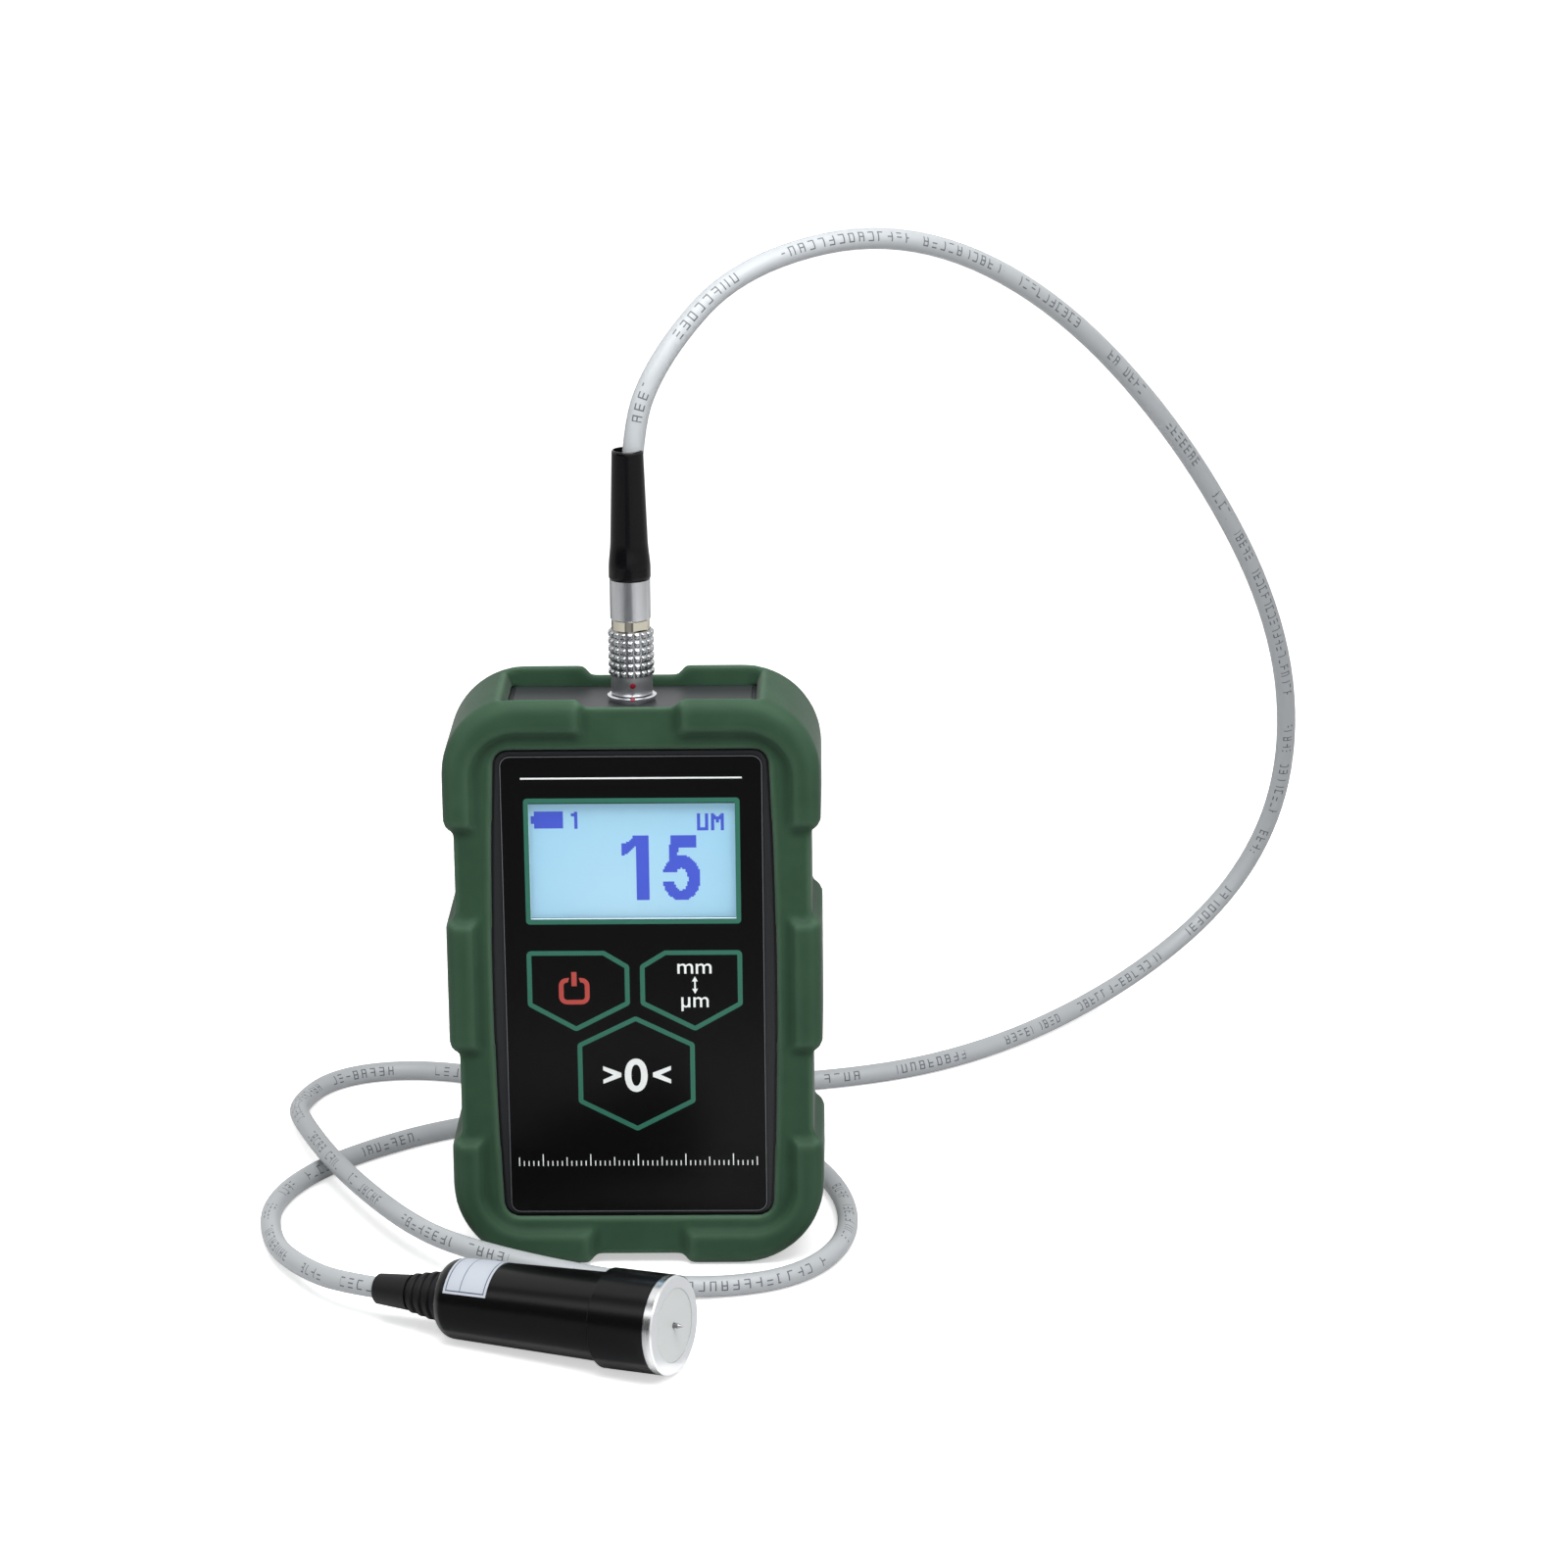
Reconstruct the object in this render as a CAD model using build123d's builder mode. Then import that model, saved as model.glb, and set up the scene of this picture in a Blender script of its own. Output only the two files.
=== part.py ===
from build123d import *
from math import atan, cos, degrees, hypot, pi, radians, sin, tan
import os

os.makedirs("parts", exist_ok=True)

# The unit stands on its holster's feet. Origin between the feet at mid depth,
# x to the right, y to the back, z up. A "front" value is a distance ahead of mid depth.

# rubber holster
holster_width = 78.0
holster_height = 124.0
holster_depth = 30.5
holster_corner = 16.5
holster_corner_low = 18.0
holster_round = 3.0
holster_side_wall = 4.3
holster_floor = 4.5
holster_front_wall = 3.75
holster_back_wall = 3.25
bumper_rise_side = 2.1
bumper_rise_face = 1.9
bumper_face_width = 5.2
bumper_face_end = 6.7
bumper_face_corner = 10.5
bumper_tip_round = 2.5
foot_gap = 22.2
grip_length = 26.0
corner_bumper_length = 26.9
window_margin_side = 9.5
window_bow = 1.4
window_margin_bottom = 10.7
window_margin_top = 11.3
window_corner = 3.0
window_lip_round = 0.7
opening_depth = 4.1
opening_gap_side = 0.6
opening_gap_front = 1.9
opening_gap_back = 2.2
opening_flare_side = 1.7
opening_flare_front = 2.0
opening_flare_back = 0.4
opening_corner = 2.0

# case: two shells parted at mid depth, and an end panel
case_corner = 11.0
case_wall = 2.0
case_round = 1.2
case_clearance = 0.1
bezel_rise = 0.7
bezel_gap = 0.4
film_thickness = 0.3
film_gap_side = 1.0
film_gap_bottom = 0.7
film_gap_top = 1.3
film_corner = 2.2
display_width = 42.6
display_height = 25.0
display_drop = 10.3
display_border = 0.9
lens_thickness = 0.8
lens_ledge = 0.4
panel_width = 49.4
panel_thickness = 2.0
panel_inset = 2.1
panel_tongue = 0.7
panel_tongue_reach = 1.3
panel_tongue_drop = 0.8
panel_slot_gap = 0.1
screw_inset_side = 5.1
screw_inset_end = 5.3
screw_boss = 5.4
screw_thread = 2.5
screw_pilot = 2.1
screw_head = 4.4
screw_head_height = 1.6
screw_recess = 1.8
screw_clearance = 0.2

# inside: display, board, keys
glass_thickness = 1.8
backlight_thickness = 3.2
backlight_gap = 0.3
display_glass_margin = 2.3
display_frame_wall = 1.6
display_frame_gap = 0.15
board_gap_side = 2.2
board_gap_boss = 0.1
board_below_keys = 9.3
board_thickness = 1.6
board_corner = 2.0
board_notch_width = 14.0
board_notch_depth = 11.0
board_post = 4.6
board_post_inset = 3.2
chip_width = 10.0
chip_height = 1.4
chip_drop = 10.6
buzzer_diameter = 9.5
buzzer_height = 3.4
buzzer_hole = 1.6
buzzer_side = 19.0
buzzer_rise = 3.4
board_screw_head = 3.8
board_screw_head_height = 1.2
board_screw_grip = 3.0
case_screw_grip = 6.0
thread_gap = 0.05
key_cap = 9.0
key_hole_gap = 0.2
key_flange_rim = 0.8
key_flange_thickness = 0.7
key_stem = 3.4
key_stem_gap = 0.1
key_travel = 0.25
switch_size = 6.2
switch_height = 2.6
switch_well = 1.8
key_pitch = 23.8
key_drop = 15.6
zero_key_drop = 33.8

# battery bay in the rear shell
cell_diameter = 10.4
cell_length = 44.5
cell_nub = 1.0
cell_nub_diameter = 3.8
cell_edge = 0.4
cell_spacing = 0.6
cell_cover_gap = 0.2
cell_gap = 0.3
bay_rise = 12.1
bay_wall = 1.2
contact_thickness = 0.4
contact_width = 8.0
contact_depth = 7.0
contact_gap = 0.02
spring_length = 3.2
spring_wire = 0.5
spring_radius = 2.6
spring_turn = 0.9
spring_cone = -14.0
cover_thickness = 1.6
cover_side_overlap = 2.0
cover_end_overlap = 0.6
cover_hinge_drop = 0.4
cover_gap = 0.25
cover_pin = 1.2
cover_pin_reach = 1.0
cover_pin_gap = 0.08
cover_rib_pitch = 1.6
cover_rib_count = 4
cover_rib_depth = 0.4
cover_rib_drop = 6.0
thumb_notch = 14.0
thumb_notch_height = 3.6
thumb_notch_depth = 0.9

# push-pull socket and plug on the z axis
flange_rim = 0.4
flange_height = 1.35
flange_foot_rim = 0.25
socket_fit = 0.03
lead_diameter = 0.9
lead_bend = 1.2
lead_drops = (7.0, 10.0)
contact_tail = 3.0
socket_thread = 8.9
socket_bore = 7.4
socket_length = 13.0
nut_rim = 1.05
nut_height = 2.0
insert_rise = 1.0
insert_length = 5.6
contact_circle = 3.6
contact_diameter = 1.3
pin_diameter = 0.7
pin_rise = 1.2
pin_length = 16.8
latch_gap = 0.15
latch_end_gap = 0.3
latch_wall = 0.75
sleeve_gap = 0.1
sleeve_wall = 0.65
sleeve_smooth_height = 3.9
sleeve_grip_rise = 0.45
sleeve_grip_height = 9.8
sleeve_travel = 1.5
sleeve_seat = 0.1
knurl_rows = 6
knurl_count = 18
knurl_depth = 0.42
knurl_groove = 0.55
neck_rise = 0.4
neck_flat_depth = 0.45
neck_height = 2.1
neck_turn = 38.0
spigot_height = 3.8
nut_rise = 0.25
nut_length = 8.5
nut_wall = 0.8
nut_cap = 1.4
collet_gap = 0.1
collet_slit = 0.6
relief_collar_rise = 0.3
relief_collar_height = 5.9
relief_collar_round = 1.1
relief_step = 0.35
relief_lip = 0.35
relief_length = 27.0
relief_gap = 0.2
relief_flare_rise = 0.5
relief_flare = 8.0

# cable
cable_diameter = 4.4
cable_hump = 11.0
cable_seat = 4.0
cable_rise = 1.25
cable_straight = 24.0
cable_plug_depth = 2.5

# probe, lying on the table in front of the unit
foot_thickness = 1.95
foot_rim = 2.6
foot_spigot_gap = 0.1
foot_spigot_length = 6.5
face_thickness = 1.5
face_sink = 0.1
needle_hole = 1.3
sleeve_step = 1.1
probe_sleeve_wall = 1.6
sleeve_length = 12.8
barrel_diameter = 18.0
barrel_taper = 0.85
barrel_length = 37.4
barrel_wall = 1.2
barrel_round = 3.0
barrel_spigot = 5.0
spigot_gap = 0.05
needle_shaft = 1.0
needle_reach = 2.0
needle_tip_length = 1.1
needle_collar = 2.6
needle_collar_length = 1.2
needle_core = 1.8
needle_core_length = 9.0
guide_diameter = 5.0
guide_length = 6.0
needle_gap = 0.05
coil_diameter = 9.0
coil_length = 12.0
probe_spring_length = 5.0
probe_spring_diameter = 2.6
probe_spring_wire = 0.3
boot_end_wall = 0.95
boot_tip_rise = 0.55
boot_tip_length = 8.0
boot_rib = 10.6
boot_rib_count = 4
boot_length = 16.5
boot_neck = 7.0
label_width = 10.0
label_start = 38.8
label_thickness = 0.15
label_front_angle = 61.5
label_back_angle = 55.0
probe_face_x = 9.6
probe_face_y = -73.7
probe_heading = -25.5

# values that follow from those above
holster_front = holster_depth / 2
thin_front = holster_front - bumper_rise_face
window_half_middle = holster_width / 2 - window_margin_side
window_half_end = window_half_middle - window_bow
window_bottom = window_margin_bottom
window_top = holster_height - window_margin_top
case_width = holster_width - 2 * holster_side_wall
case_bottom = holster_floor
case_top = holster_height - opening_depth
case_front = holster_front - holster_front_wall
case_back = holster_front - holster_back_wall
inner_front = case_front - case_wall
bezel_front = case_front + bezel_rise
panel_surface = case_top + case_clearance
panel_front = case_front - panel_inset
panel_back = case_back - panel_inset
opening_width = panel_width + 2 * opening_gap_side
opening_front = panel_front + opening_gap_front
opening_back = panel_back + opening_gap_back
rim_front = opening_front + opening_flare_front
rim_back = opening_back + opening_flare_back
film_width = 2 * (window_half_end - film_gap_side)
film_bottom = window_bottom + film_gap_bottom
film_top = window_top - film_gap_top
display_top = film_top - display_drop
display_bottom = display_top - display_height
display_center = (display_top + display_bottom) / 2
glass_width = display_width + 2 * display_glass_margin
glass_height = display_height + 2 * display_glass_margin
lens_back = bezel_front - lens_thickness
display_pocket = lens_back - lens_ledge
display_glass_front = display_pocket - case_clearance
backlight_back = display_glass_front - glass_thickness - backlight_thickness
board_front = backlight_back - backlight_gap
board_back = board_front - board_thickness
board_width = case_width - 2 * (case_wall + board_gap_side)
board_top = case_top - screw_inset_end - screw_boss / 2 - board_gap_boss
key_z = display_bottom - key_drop
zero_key_z = display_bottom - zero_key_drop
key_places = {"power": (-key_pitch / 2, key_z), "units": (key_pitch / 2, key_z), "zero": (0, zero_key_z)}
board_bottom = zero_key_z - board_below_keys
buzzer_place = (buzzer_side, display_center + buzzer_rise)
key_flange = key_cap + 2 * key_flange_rim
cell_pitch = cell_diameter + cell_spacing
cell_front = cover_thickness + cell_cover_gap + cell_diameter / 2 - case_back
bay_bottom = case_bottom + bay_rise
bay_half_width = cell_pitch / 2 + cell_diameter / 2 + cell_gap
cover_width = 2 * (bay_half_width + cover_side_overlap)

# the socket's and plug's diameters, each from the piece inside or outside it
flange_foot = socket_thread + 2 * flange_foot_rim
flange_diameter = flange_foot + 2 * flange_rim
nut_across = socket_thread + 2 * nut_rim
latch_diameter = socket_bore - 2 * latch_gap
latch_bore = latch_diameter - 2 * latch_wall
sleeve_smooth = latch_diameter + 2 * (sleeve_gap + sleeve_wall)
sleeve_grip = sleeve_smooth + 2 * sleeve_grip_rise
neck_diameter = latch_diameter + 2 * neck_rise
neck_flats = neck_diameter - 2 * neck_flat_depth
nut_diameter = neck_diameter + 2 * nut_rise
nut_bore = nut_diameter - 2 * nut_wall
relief_collar = nut_diameter + 2 * relief_collar_rise
relief_foot = relief_collar - 2 * relief_step
collet_bore = cable_diameter + 2 * collet_gap
relief_bore = cable_diameter + 2 * relief_gap
relief_mouth = relief_bore + 2 * relief_flare_rise
relief_top = relief_mouth + 2 * relief_lip

# heights of the socket and plug
socket_bottom = panel_surface - socket_length
insert_bottom = socket_bottom + insert_rise
insert_top = insert_bottom + insert_length
pin_bottom = insert_bottom + pin_rise
pin_top = pin_bottom + pin_length
latch_bottom = insert_top + latch_end_gap
sleeve_bottom = panel_surface + flange_height + sleeve_seat
sleeve_grip_bottom = sleeve_bottom + sleeve_smooth_height
sleeve_top = sleeve_grip_bottom + sleeve_grip_height
nut_bottom = sleeve_top + neck_height
nut_top = nut_bottom + nut_length
relief_end = nut_top + relief_length

# the probe's diameters; its barrel narrows by the taper at each side towards the rear
barrel_rear = barrel_diameter - 2 * barrel_taper
barrel_bore = barrel_rear - 2 * barrel_wall
sleeve_diameter = barrel_diameter + 2 * sleeve_step
foot_diameter = sleeve_diameter
foot_recess = foot_diameter - 2 * foot_rim
spigot_radius = sleeve_diameter / 2 - probe_sleeve_wall
foot_spigot = 2 * (spigot_radius - foot_spigot_gap)
boot_end = cable_diameter + 2 * boot_end_wall
boot_tip = boot_end + 2 * boot_tip_rise


def rounded_outline(width, bottom, top, radius):
    with BuildSketch() as outline:
        with Locations((0, (bottom + top) / 2)):
            RectangleRounded(width, top - bottom, radius)
    return outline.sketch


def barrel_outline(half_middle, half_end, bottom, top, corner):
    # a window whose long sides bow outwards
    middle = (bottom + top) / 2
    with BuildSketch() as outline:
        with BuildLine():
            ThreePointArc((half_end, bottom), (half_middle, middle), (half_end, top))
            Line((half_end, top), (-half_end, top))
            ThreePointArc((-half_end, top), (-half_middle, middle), (-half_end, bottom))
            Line((-half_end, bottom), (half_end, bottom))
        make_face()
        fillet(outline.vertices(), corner)
    return outline.sketch


def gap_outline(base, rise):
    # the gap between two bumpers, with ends that slope at 45 degrees
    reach = 2 * rise
    with BuildSketch() as outline:
        with BuildLine():
            Polyline(
                (-base / 2, 0),
                (base / 2, 0),
                (base / 2 + reach, reach),
                (-base / 2 - reach, reach),
                close=True,
            )
        make_face()
    return outline.sketch


def finish(part, name):
    part.label = name
    export_step(part, f"parts/{name}.step")


# holster: a thick outline, thinned between the bumpers on all six sides
holster_middle = holster_height / 2
foot_gap_base = foot_gap - 2 * bumper_rise_side
side_gap = holster_middle - corner_bumper_length - grip_length / 2
side_gap_base = side_gap - 2 * bumper_rise_side
side_gap_middle = grip_length / 2 + side_gap / 2
thin_side = holster_width / 2 - bumper_rise_side
face_half_width = holster_width / 2 - bumper_face_width
face_half_height = holster_middle - bumper_face_end

with BuildPart() as rubber_holster:
    with BuildSketch(Plane.XZ.offset(holster_front)) as holster_outline:
        with Locations((0, holster_middle)):
            Rectangle(holster_width, holster_height)
        fillet(holster_outline.vertices().group_by(Axis.Y)[-1], holster_corner)
        fillet(holster_outline.vertices().group_by(Axis.Y)[0], holster_corner_low)
    extrude(amount=-holster_depth)
    fillet(rubber_holster.faces().filter_by(Axis.Y).edges(), holster_round)

    end_gap = gap_outline(foot_gap_base, bumper_rise_side)
    flank_gap = gap_outline(side_gap_base, bumper_rise_side)
    with BuildSketch(Plane.XZ):
        with Locations(Location((0, holster_height - bumper_rise_side, 0), 0)):
            add(end_gap)
        with Locations(Location((0, bumper_rise_side, 0), 180)):
            add(end_gap)
        for height in (holster_middle - side_gap_middle, holster_middle + side_gap_middle):
            with Locations(Location((thin_side, height, 0), -90)):
                add(flank_gap)
            with Locations(Location((-thin_side, height, 0), 90)):
                add(flank_gap)
    extrude(amount=holster_depth, both=True, mode=Mode.SUBTRACT)

    for side in (-1, 1):
        inward = Plane(
            origin=(0, side * holster_front, holster_middle), x_dir=(1, 0, 0), z_dir=(0, -side, 0)
        )
        with BuildSketch(inward) as recess:
            RectangleRounded(2 * face_half_width, 2 * face_half_height, bumper_face_corner)
            Rectangle(foot_gap, 2 * holster_height)
            with Locations((0, side_gap_middle), (0, -side_gap_middle)):
                Rectangle(2 * holster_width, side_gap)
            tips = recess.vertices().filter_by(
                lambda v: hypot(v.X, v.Z - holster_middle) < hypot(foot_gap, face_half_height)
                and (
                    abs(abs(v.X) - foot_gap / 2) < 0.01
                    or (
                        abs(abs(v.X) - face_half_width) < 0.01
                        and abs(v.Z - holster_middle) < side_gap_middle + side_gap
                    )
                )
            )
            fillet(tips, bumper_tip_round)
        extrude(amount=bumper_rise_face, taper=45, mode=Mode.SUBTRACT)

    # room for the case
    with BuildSketch(Plane.XZ.offset(case_front + case_clearance)):
        add(
            rounded_outline(
                case_width + 2 * case_clearance,
                case_bottom - case_clearance,
                case_top + case_clearance,
                case_corner,
            )
        )
    extrude(amount=-(case_front + case_back + 2 * case_clearance), mode=Mode.SUBTRACT)

    # windows in the front and back
    window = barrel_outline(
        window_half_middle, window_half_end, window_bottom, window_top, window_corner
    )
    with BuildSketch(Plane.XZ):
        add(window)
    extrude(amount=holster_depth, both=True, mode=Mode.SUBTRACT)

    # flared opening over the end panel
    with BuildSketch(Plane.XY.offset(case_top - 0.5)):
        with Locations((0, (opening_back - opening_front) / 2)):
            RectangleRounded(opening_width, opening_back + opening_front, opening_corner)
    with BuildSketch(Plane.XY.offset(holster_height + 0.01)):
        with Locations((0, (rim_back - rim_front) / 2)):
            RectangleRounded(opening_width + 2 * opening_flare_side, rim_back + rim_front, opening_corner)
    loft(mode=Mode.SUBTRACT)

    lips = (
        rubber_holster.edges()
        .filter_by(lambda e: abs(abs(e.center().Y) - thin_front) < 0.01)
        .filter_by(lambda e: abs(e.center().X) < window_half_middle + 0.5)
        .filter_by(lambda e: window_bottom - 0.5 < e.center().Z < window_top + 0.5)
    )
    fillet(lips, window_lip_round)
finish(rubber_holster.part, "rubber_holster")

# screw places, the same for both shells
screw_x = case_width / 2 - screw_inset_side
screw_places = [
    (side * screw_x, height)
    for side in (-1, 1)
    for height in (case_bottom + screw_inset_end, case_top - screw_inset_end)
]
board_post_places = [
    (side * (board_width / 2 - board_post_inset), height)
    for side in (-1, 1)
    for height in (board_bottom + board_post_inset, board_top - board_post_inset)
]


def case_outline(inset):
    return rounded_outline(
        case_width - 2 * inset, case_bottom + inset, case_top - inset, case_corner - inset
    )


bezel_outline = barrel_outline(
    window_half_middle - bezel_gap,
    window_half_end - bezel_gap,
    window_bottom + bezel_gap,
    window_top - bezel_gap,
    window_corner - bezel_gap,
)

with BuildPart() as front_shell:
    with BuildSketch(Plane.XZ):
        add(case_outline(0))
    extrude(amount=case_front)
    fillet(front_shell.faces().sort_by(Axis.Y)[0].edges(), case_round)
    with BuildSketch(Plane.XZ.offset(case_front)):
        add(bezel_outline)
    extrude(amount=bezel_rise)
    with BuildSketch(Plane.XZ):
        add(case_outline(case_wall))
    extrude(amount=inner_front, mode=Mode.SUBTRACT)
    # bosses for the case screws and posts for the board
    with BuildSketch(Plane.XZ):
        with Locations(*screw_places):
            Circle(screw_boss / 2)
    extrude(amount=inner_front)
    with BuildSketch(Plane.XZ):
        with Locations(*screw_places):
            Circle(screw_pilot / 2)
    extrude(amount=inner_front - 1, mode=Mode.SUBTRACT)
    with BuildSketch(Plane.XZ.offset(board_front)):
        with Locations(*board_post_places):
            Circle(board_post / 2)
            Circle(screw_pilot / 2, mode=Mode.SUBTRACT)
    extrude(amount=inner_front - board_front)
    # seat of the clear window, and the opening behind it
    with BuildSketch(Plane.XZ.offset(bezel_front)):
        with Locations((0, display_center)):
            Rectangle(
                display_width + 2 * display_border + 2 * case_clearance,
                display_height + 2 * display_border + 2 * case_clearance,
            )
    extrude(amount=-lens_thickness, mode=Mode.SUBTRACT)
    with BuildSketch(Plane.XZ.offset(bezel_front)):
        with Locations((0, display_center)):
            Rectangle(display_width, display_height)
    extrude(amount=-(bezel_front - board_front), mode=Mode.SUBTRACT)
    # pocket that lets the display glass reach nearly to the window
    with BuildSketch(Plane.XZ.offset(board_front)):
        with Locations((0, display_center)):
            Rectangle(glass_width + 2 * display_frame_gap, glass_height + 2 * display_frame_gap)
    extrude(amount=display_pocket - board_front, mode=Mode.SUBTRACT)
    # holes for the three keys
    with BuildSketch(Plane.XZ.offset(bezel_front)):
        with Locations(*key_places.values()):
            Circle(key_cap / 2 + key_hole_gap)
    extrude(amount=-(bezel_front - inner_front), mode=Mode.SUBTRACT)
    # slot for the end panel, with grooves for its two tongues
    with BuildSketch(Plane.XY.offset(case_top)):
        with Locations((0, -panel_front / 2)):
            Rectangle(panel_width + 2 * panel_slot_gap, panel_front + 2 * panel_slot_gap)
    extrude(amount=-case_wall - 0.01, mode=Mode.SUBTRACT)
    groove_top = panel_surface - panel_tongue_drop + panel_slot_gap
    with BuildSketch(Plane.XY.offset(groove_top)):
        with Locations((0, -panel_front / 2)):
            Rectangle(
                panel_width + 2 * panel_tongue_reach + 2 * panel_slot_gap,
                panel_front + 2 * panel_slot_gap,
            )
    extrude(amount=-(panel_tongue + 2 * panel_slot_gap), mode=Mode.SUBTRACT)
finish(front_shell.part, "front_shell")

# rear shell with its battery bay
bay_length = cell_length + spring_length + contact_thickness + 2 * cell_gap
bay_top = bay_bottom + bay_length
bay_floor = cell_front + cell_diameter / 2 + cell_gap
cover_back = case_back
cover_front = case_back - cover_thickness
cover_axis_z = bay_bottom - cover_hinge_drop
cover_axis_y = case_back - cover_thickness / 2
cover_top = bay_top + cover_end_overlap

with BuildPart() as rear_shell:
    with BuildSketch(Plane.XZ):
        add(case_outline(0))
    extrude(amount=-case_back)
    fillet(rear_shell.faces().sort_by(Axis.Y)[-1].edges(), case_round)
    with BuildSketch(Plane.XZ):
        add(case_outline(case_wall))
    extrude(amount=-(case_back - case_wall), mode=Mode.SUBTRACT)
    with BuildSketch(Plane.XZ):
        with Locations(*screw_places):
            Circle(screw_boss / 2)
    extrude(amount=-(case_back - 1))
    with BuildSketch(Plane.XZ):
        with Locations(*screw_places):
            Circle(screw_thread / 2 + screw_clearance)
    extrude(amount=-case_back, mode=Mode.SUBTRACT)
    with BuildSketch(Plane.XZ.offset(-case_back)):
        with Locations(*screw_places):
            Circle(screw_head / 2 + screw_clearance)
    extrude(amount=screw_recess, mode=Mode.SUBTRACT)
    # bay walls, then the bay itself
    with BuildSketch(Plane.XZ.offset(bay_floor + bay_wall)):
        with Locations((0, (bay_bottom + bay_top) / 2)):
            Rectangle(2 * bay_half_width + 4 * bay_wall, bay_length + 2 * bay_wall)
    extrude(amount=-(bay_floor + bay_wall + case_back - 0.5))
    with BuildSketch(Plane.XZ.offset(bay_floor)):
        with Locations((0, (bay_bottom + bay_top) / 2)):
            Rectangle(2 * bay_half_width, bay_length)
    extrude(amount=-(bay_floor + case_back), mode=Mode.SUBTRACT)
    # rebate for the cover, with its pin holes and a thumb notch
    with BuildSketch(Plane.XZ.offset(-cover_front)):
        with Locations((0, (cover_axis_z + cover_top) / 2)):
            Rectangle(
                cover_width + 2 * cover_gap, cover_top - cover_axis_z + cover_thickness + 2 * cover_gap
            )
    extrude(amount=-(cover_thickness + 0.01), mode=Mode.SUBTRACT)
    with BuildSketch(Plane.YZ.offset(-(cover_width / 2 + cover_pin_reach + cover_gap))):
        with Locations((cover_axis_y, cover_axis_z)):
            Circle(cover_pin / 2 + cover_pin_gap)
    extrude(amount=cover_width + 2 * cover_pin_reach + 2 * cover_gap, mode=Mode.SUBTRACT)
    with BuildSketch(Plane.XZ.offset(-case_back)):
        with Locations((0, cover_top + 1.0)):
            SlotOverall(thumb_notch, thumb_notch_height)
    extrude(amount=thumb_notch_depth, mode=Mode.SUBTRACT)
    # slot for the end panel, with grooves for its two tongues
    with BuildSketch(Plane.XY.offset(case_top)):
        with Locations((0, panel_back / 2)):
            Rectangle(panel_width + 2 * panel_slot_gap, panel_back + 2 * panel_slot_gap)
    extrude(amount=-case_wall - 0.01, mode=Mode.SUBTRACT)
    groove_top = panel_surface - panel_tongue_drop + panel_slot_gap
    with BuildSketch(Plane.XY.offset(groove_top)):
        with Locations((0, panel_back / 2)):
            Rectangle(
                panel_width + 2 * panel_tongue_reach + 2 * panel_slot_gap,
                panel_back + 2 * panel_slot_gap,
            )
    extrude(amount=-(panel_tongue + 2 * panel_slot_gap), mode=Mode.SUBTRACT)
finish(rear_shell.part, "rear_shell")

with BuildPart() as top_end_panel:
    depth_middle = (panel_back - panel_front) / 2
    with BuildSketch(Plane.XY.offset(panel_surface)):
        with Locations((0, depth_middle)):
            Rectangle(panel_width, panel_front + panel_back)
    extrude(amount=-panel_thickness - case_clearance)
    with BuildSketch(Plane.XY.offset(panel_surface - panel_tongue_drop)):
        with Locations((0, depth_middle)):
            Rectangle(panel_width + 2 * panel_tongue_reach, panel_front + panel_back)
    extrude(amount=-panel_tongue)
    with Locations((0, 0, panel_surface)):
        Hole(socket_thread / 2 + 0.05)
finish(top_end_panel.part, "top_end_panel")

with BuildPart() as case_screws:
    screw_seat = case_back - screw_recess
    with BuildSketch(Plane.XZ.offset(-screw_seat)):
        with Locations(*screw_places):
            Circle(screw_head / 2)
    extrude(amount=-screw_head_height)
    with BuildSketch(Plane.XZ.offset(-screw_seat)):
        with Locations(*screw_places):
            Circle(screw_pilot / 2 - thread_gap)
    extrude(amount=screw_seat + case_screw_grip)
    with BuildSketch(Plane.XZ.offset(-(screw_seat + screw_head_height))):
        with Locations(*screw_places):
            Rectangle(screw_head * 0.7, 0.5)
            Rectangle(0.5, screw_head * 0.7)
    extrude(amount=0.8, mode=Mode.SUBTRACT)
finish(case_screws.part, "case_screws")

with BuildPart() as keypad_film:
    with BuildSketch(Plane.XZ.offset(bezel_front)):
        add(rounded_outline(film_width, film_bottom, film_top, film_corner))
        with Locations((0, display_center)):
            Rectangle(display_width, display_height, mode=Mode.SUBTRACT)
    extrude(amount=film_thickness)
finish(keypad_film.part, "keypad_film")

with BuildPart() as display_window:
    with BuildSketch(Plane.XZ.offset(bezel_front)):
        with Locations((0, display_center)):
            Rectangle(display_width + 2 * display_border, display_height + 2 * display_border)
    extrude(amount=-lens_thickness)
finish(display_window.part, "display_window")

# display stack behind the window, resting on the board
with BuildPart() as display_glass:
    with BuildSketch(Plane.XZ.offset(display_glass_front)):
        with Locations((0, display_center)):
            Rectangle(glass_width, glass_height)
    extrude(amount=-glass_thickness)
finish(display_glass.part, "display_glass")

with BuildPart() as display_backlight:
    with BuildSketch(Plane.XZ.offset(display_glass_front - glass_thickness)):
        with Locations((0, display_center)):
            Rectangle(glass_width, glass_height)
    extrude(amount=-backlight_thickness)
finish(display_backlight.part, "display_backlight")

with BuildPart() as display_frame:
    with BuildSketch(Plane.XZ.offset(board_front)):
        with Locations((0, display_center)):
            Rectangle(
                glass_width + 2 * (display_frame_gap + display_frame_wall),
                glass_height + 2 * (display_frame_gap + display_frame_wall),
            )
            Rectangle(
                glass_width + 2 * display_frame_gap,
                glass_height + 2 * display_frame_gap,
                mode=Mode.SUBTRACT,
            )
    extrude(amount=inner_front - case_clearance - board_front)
finish(display_frame.part, "display_frame")

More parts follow.
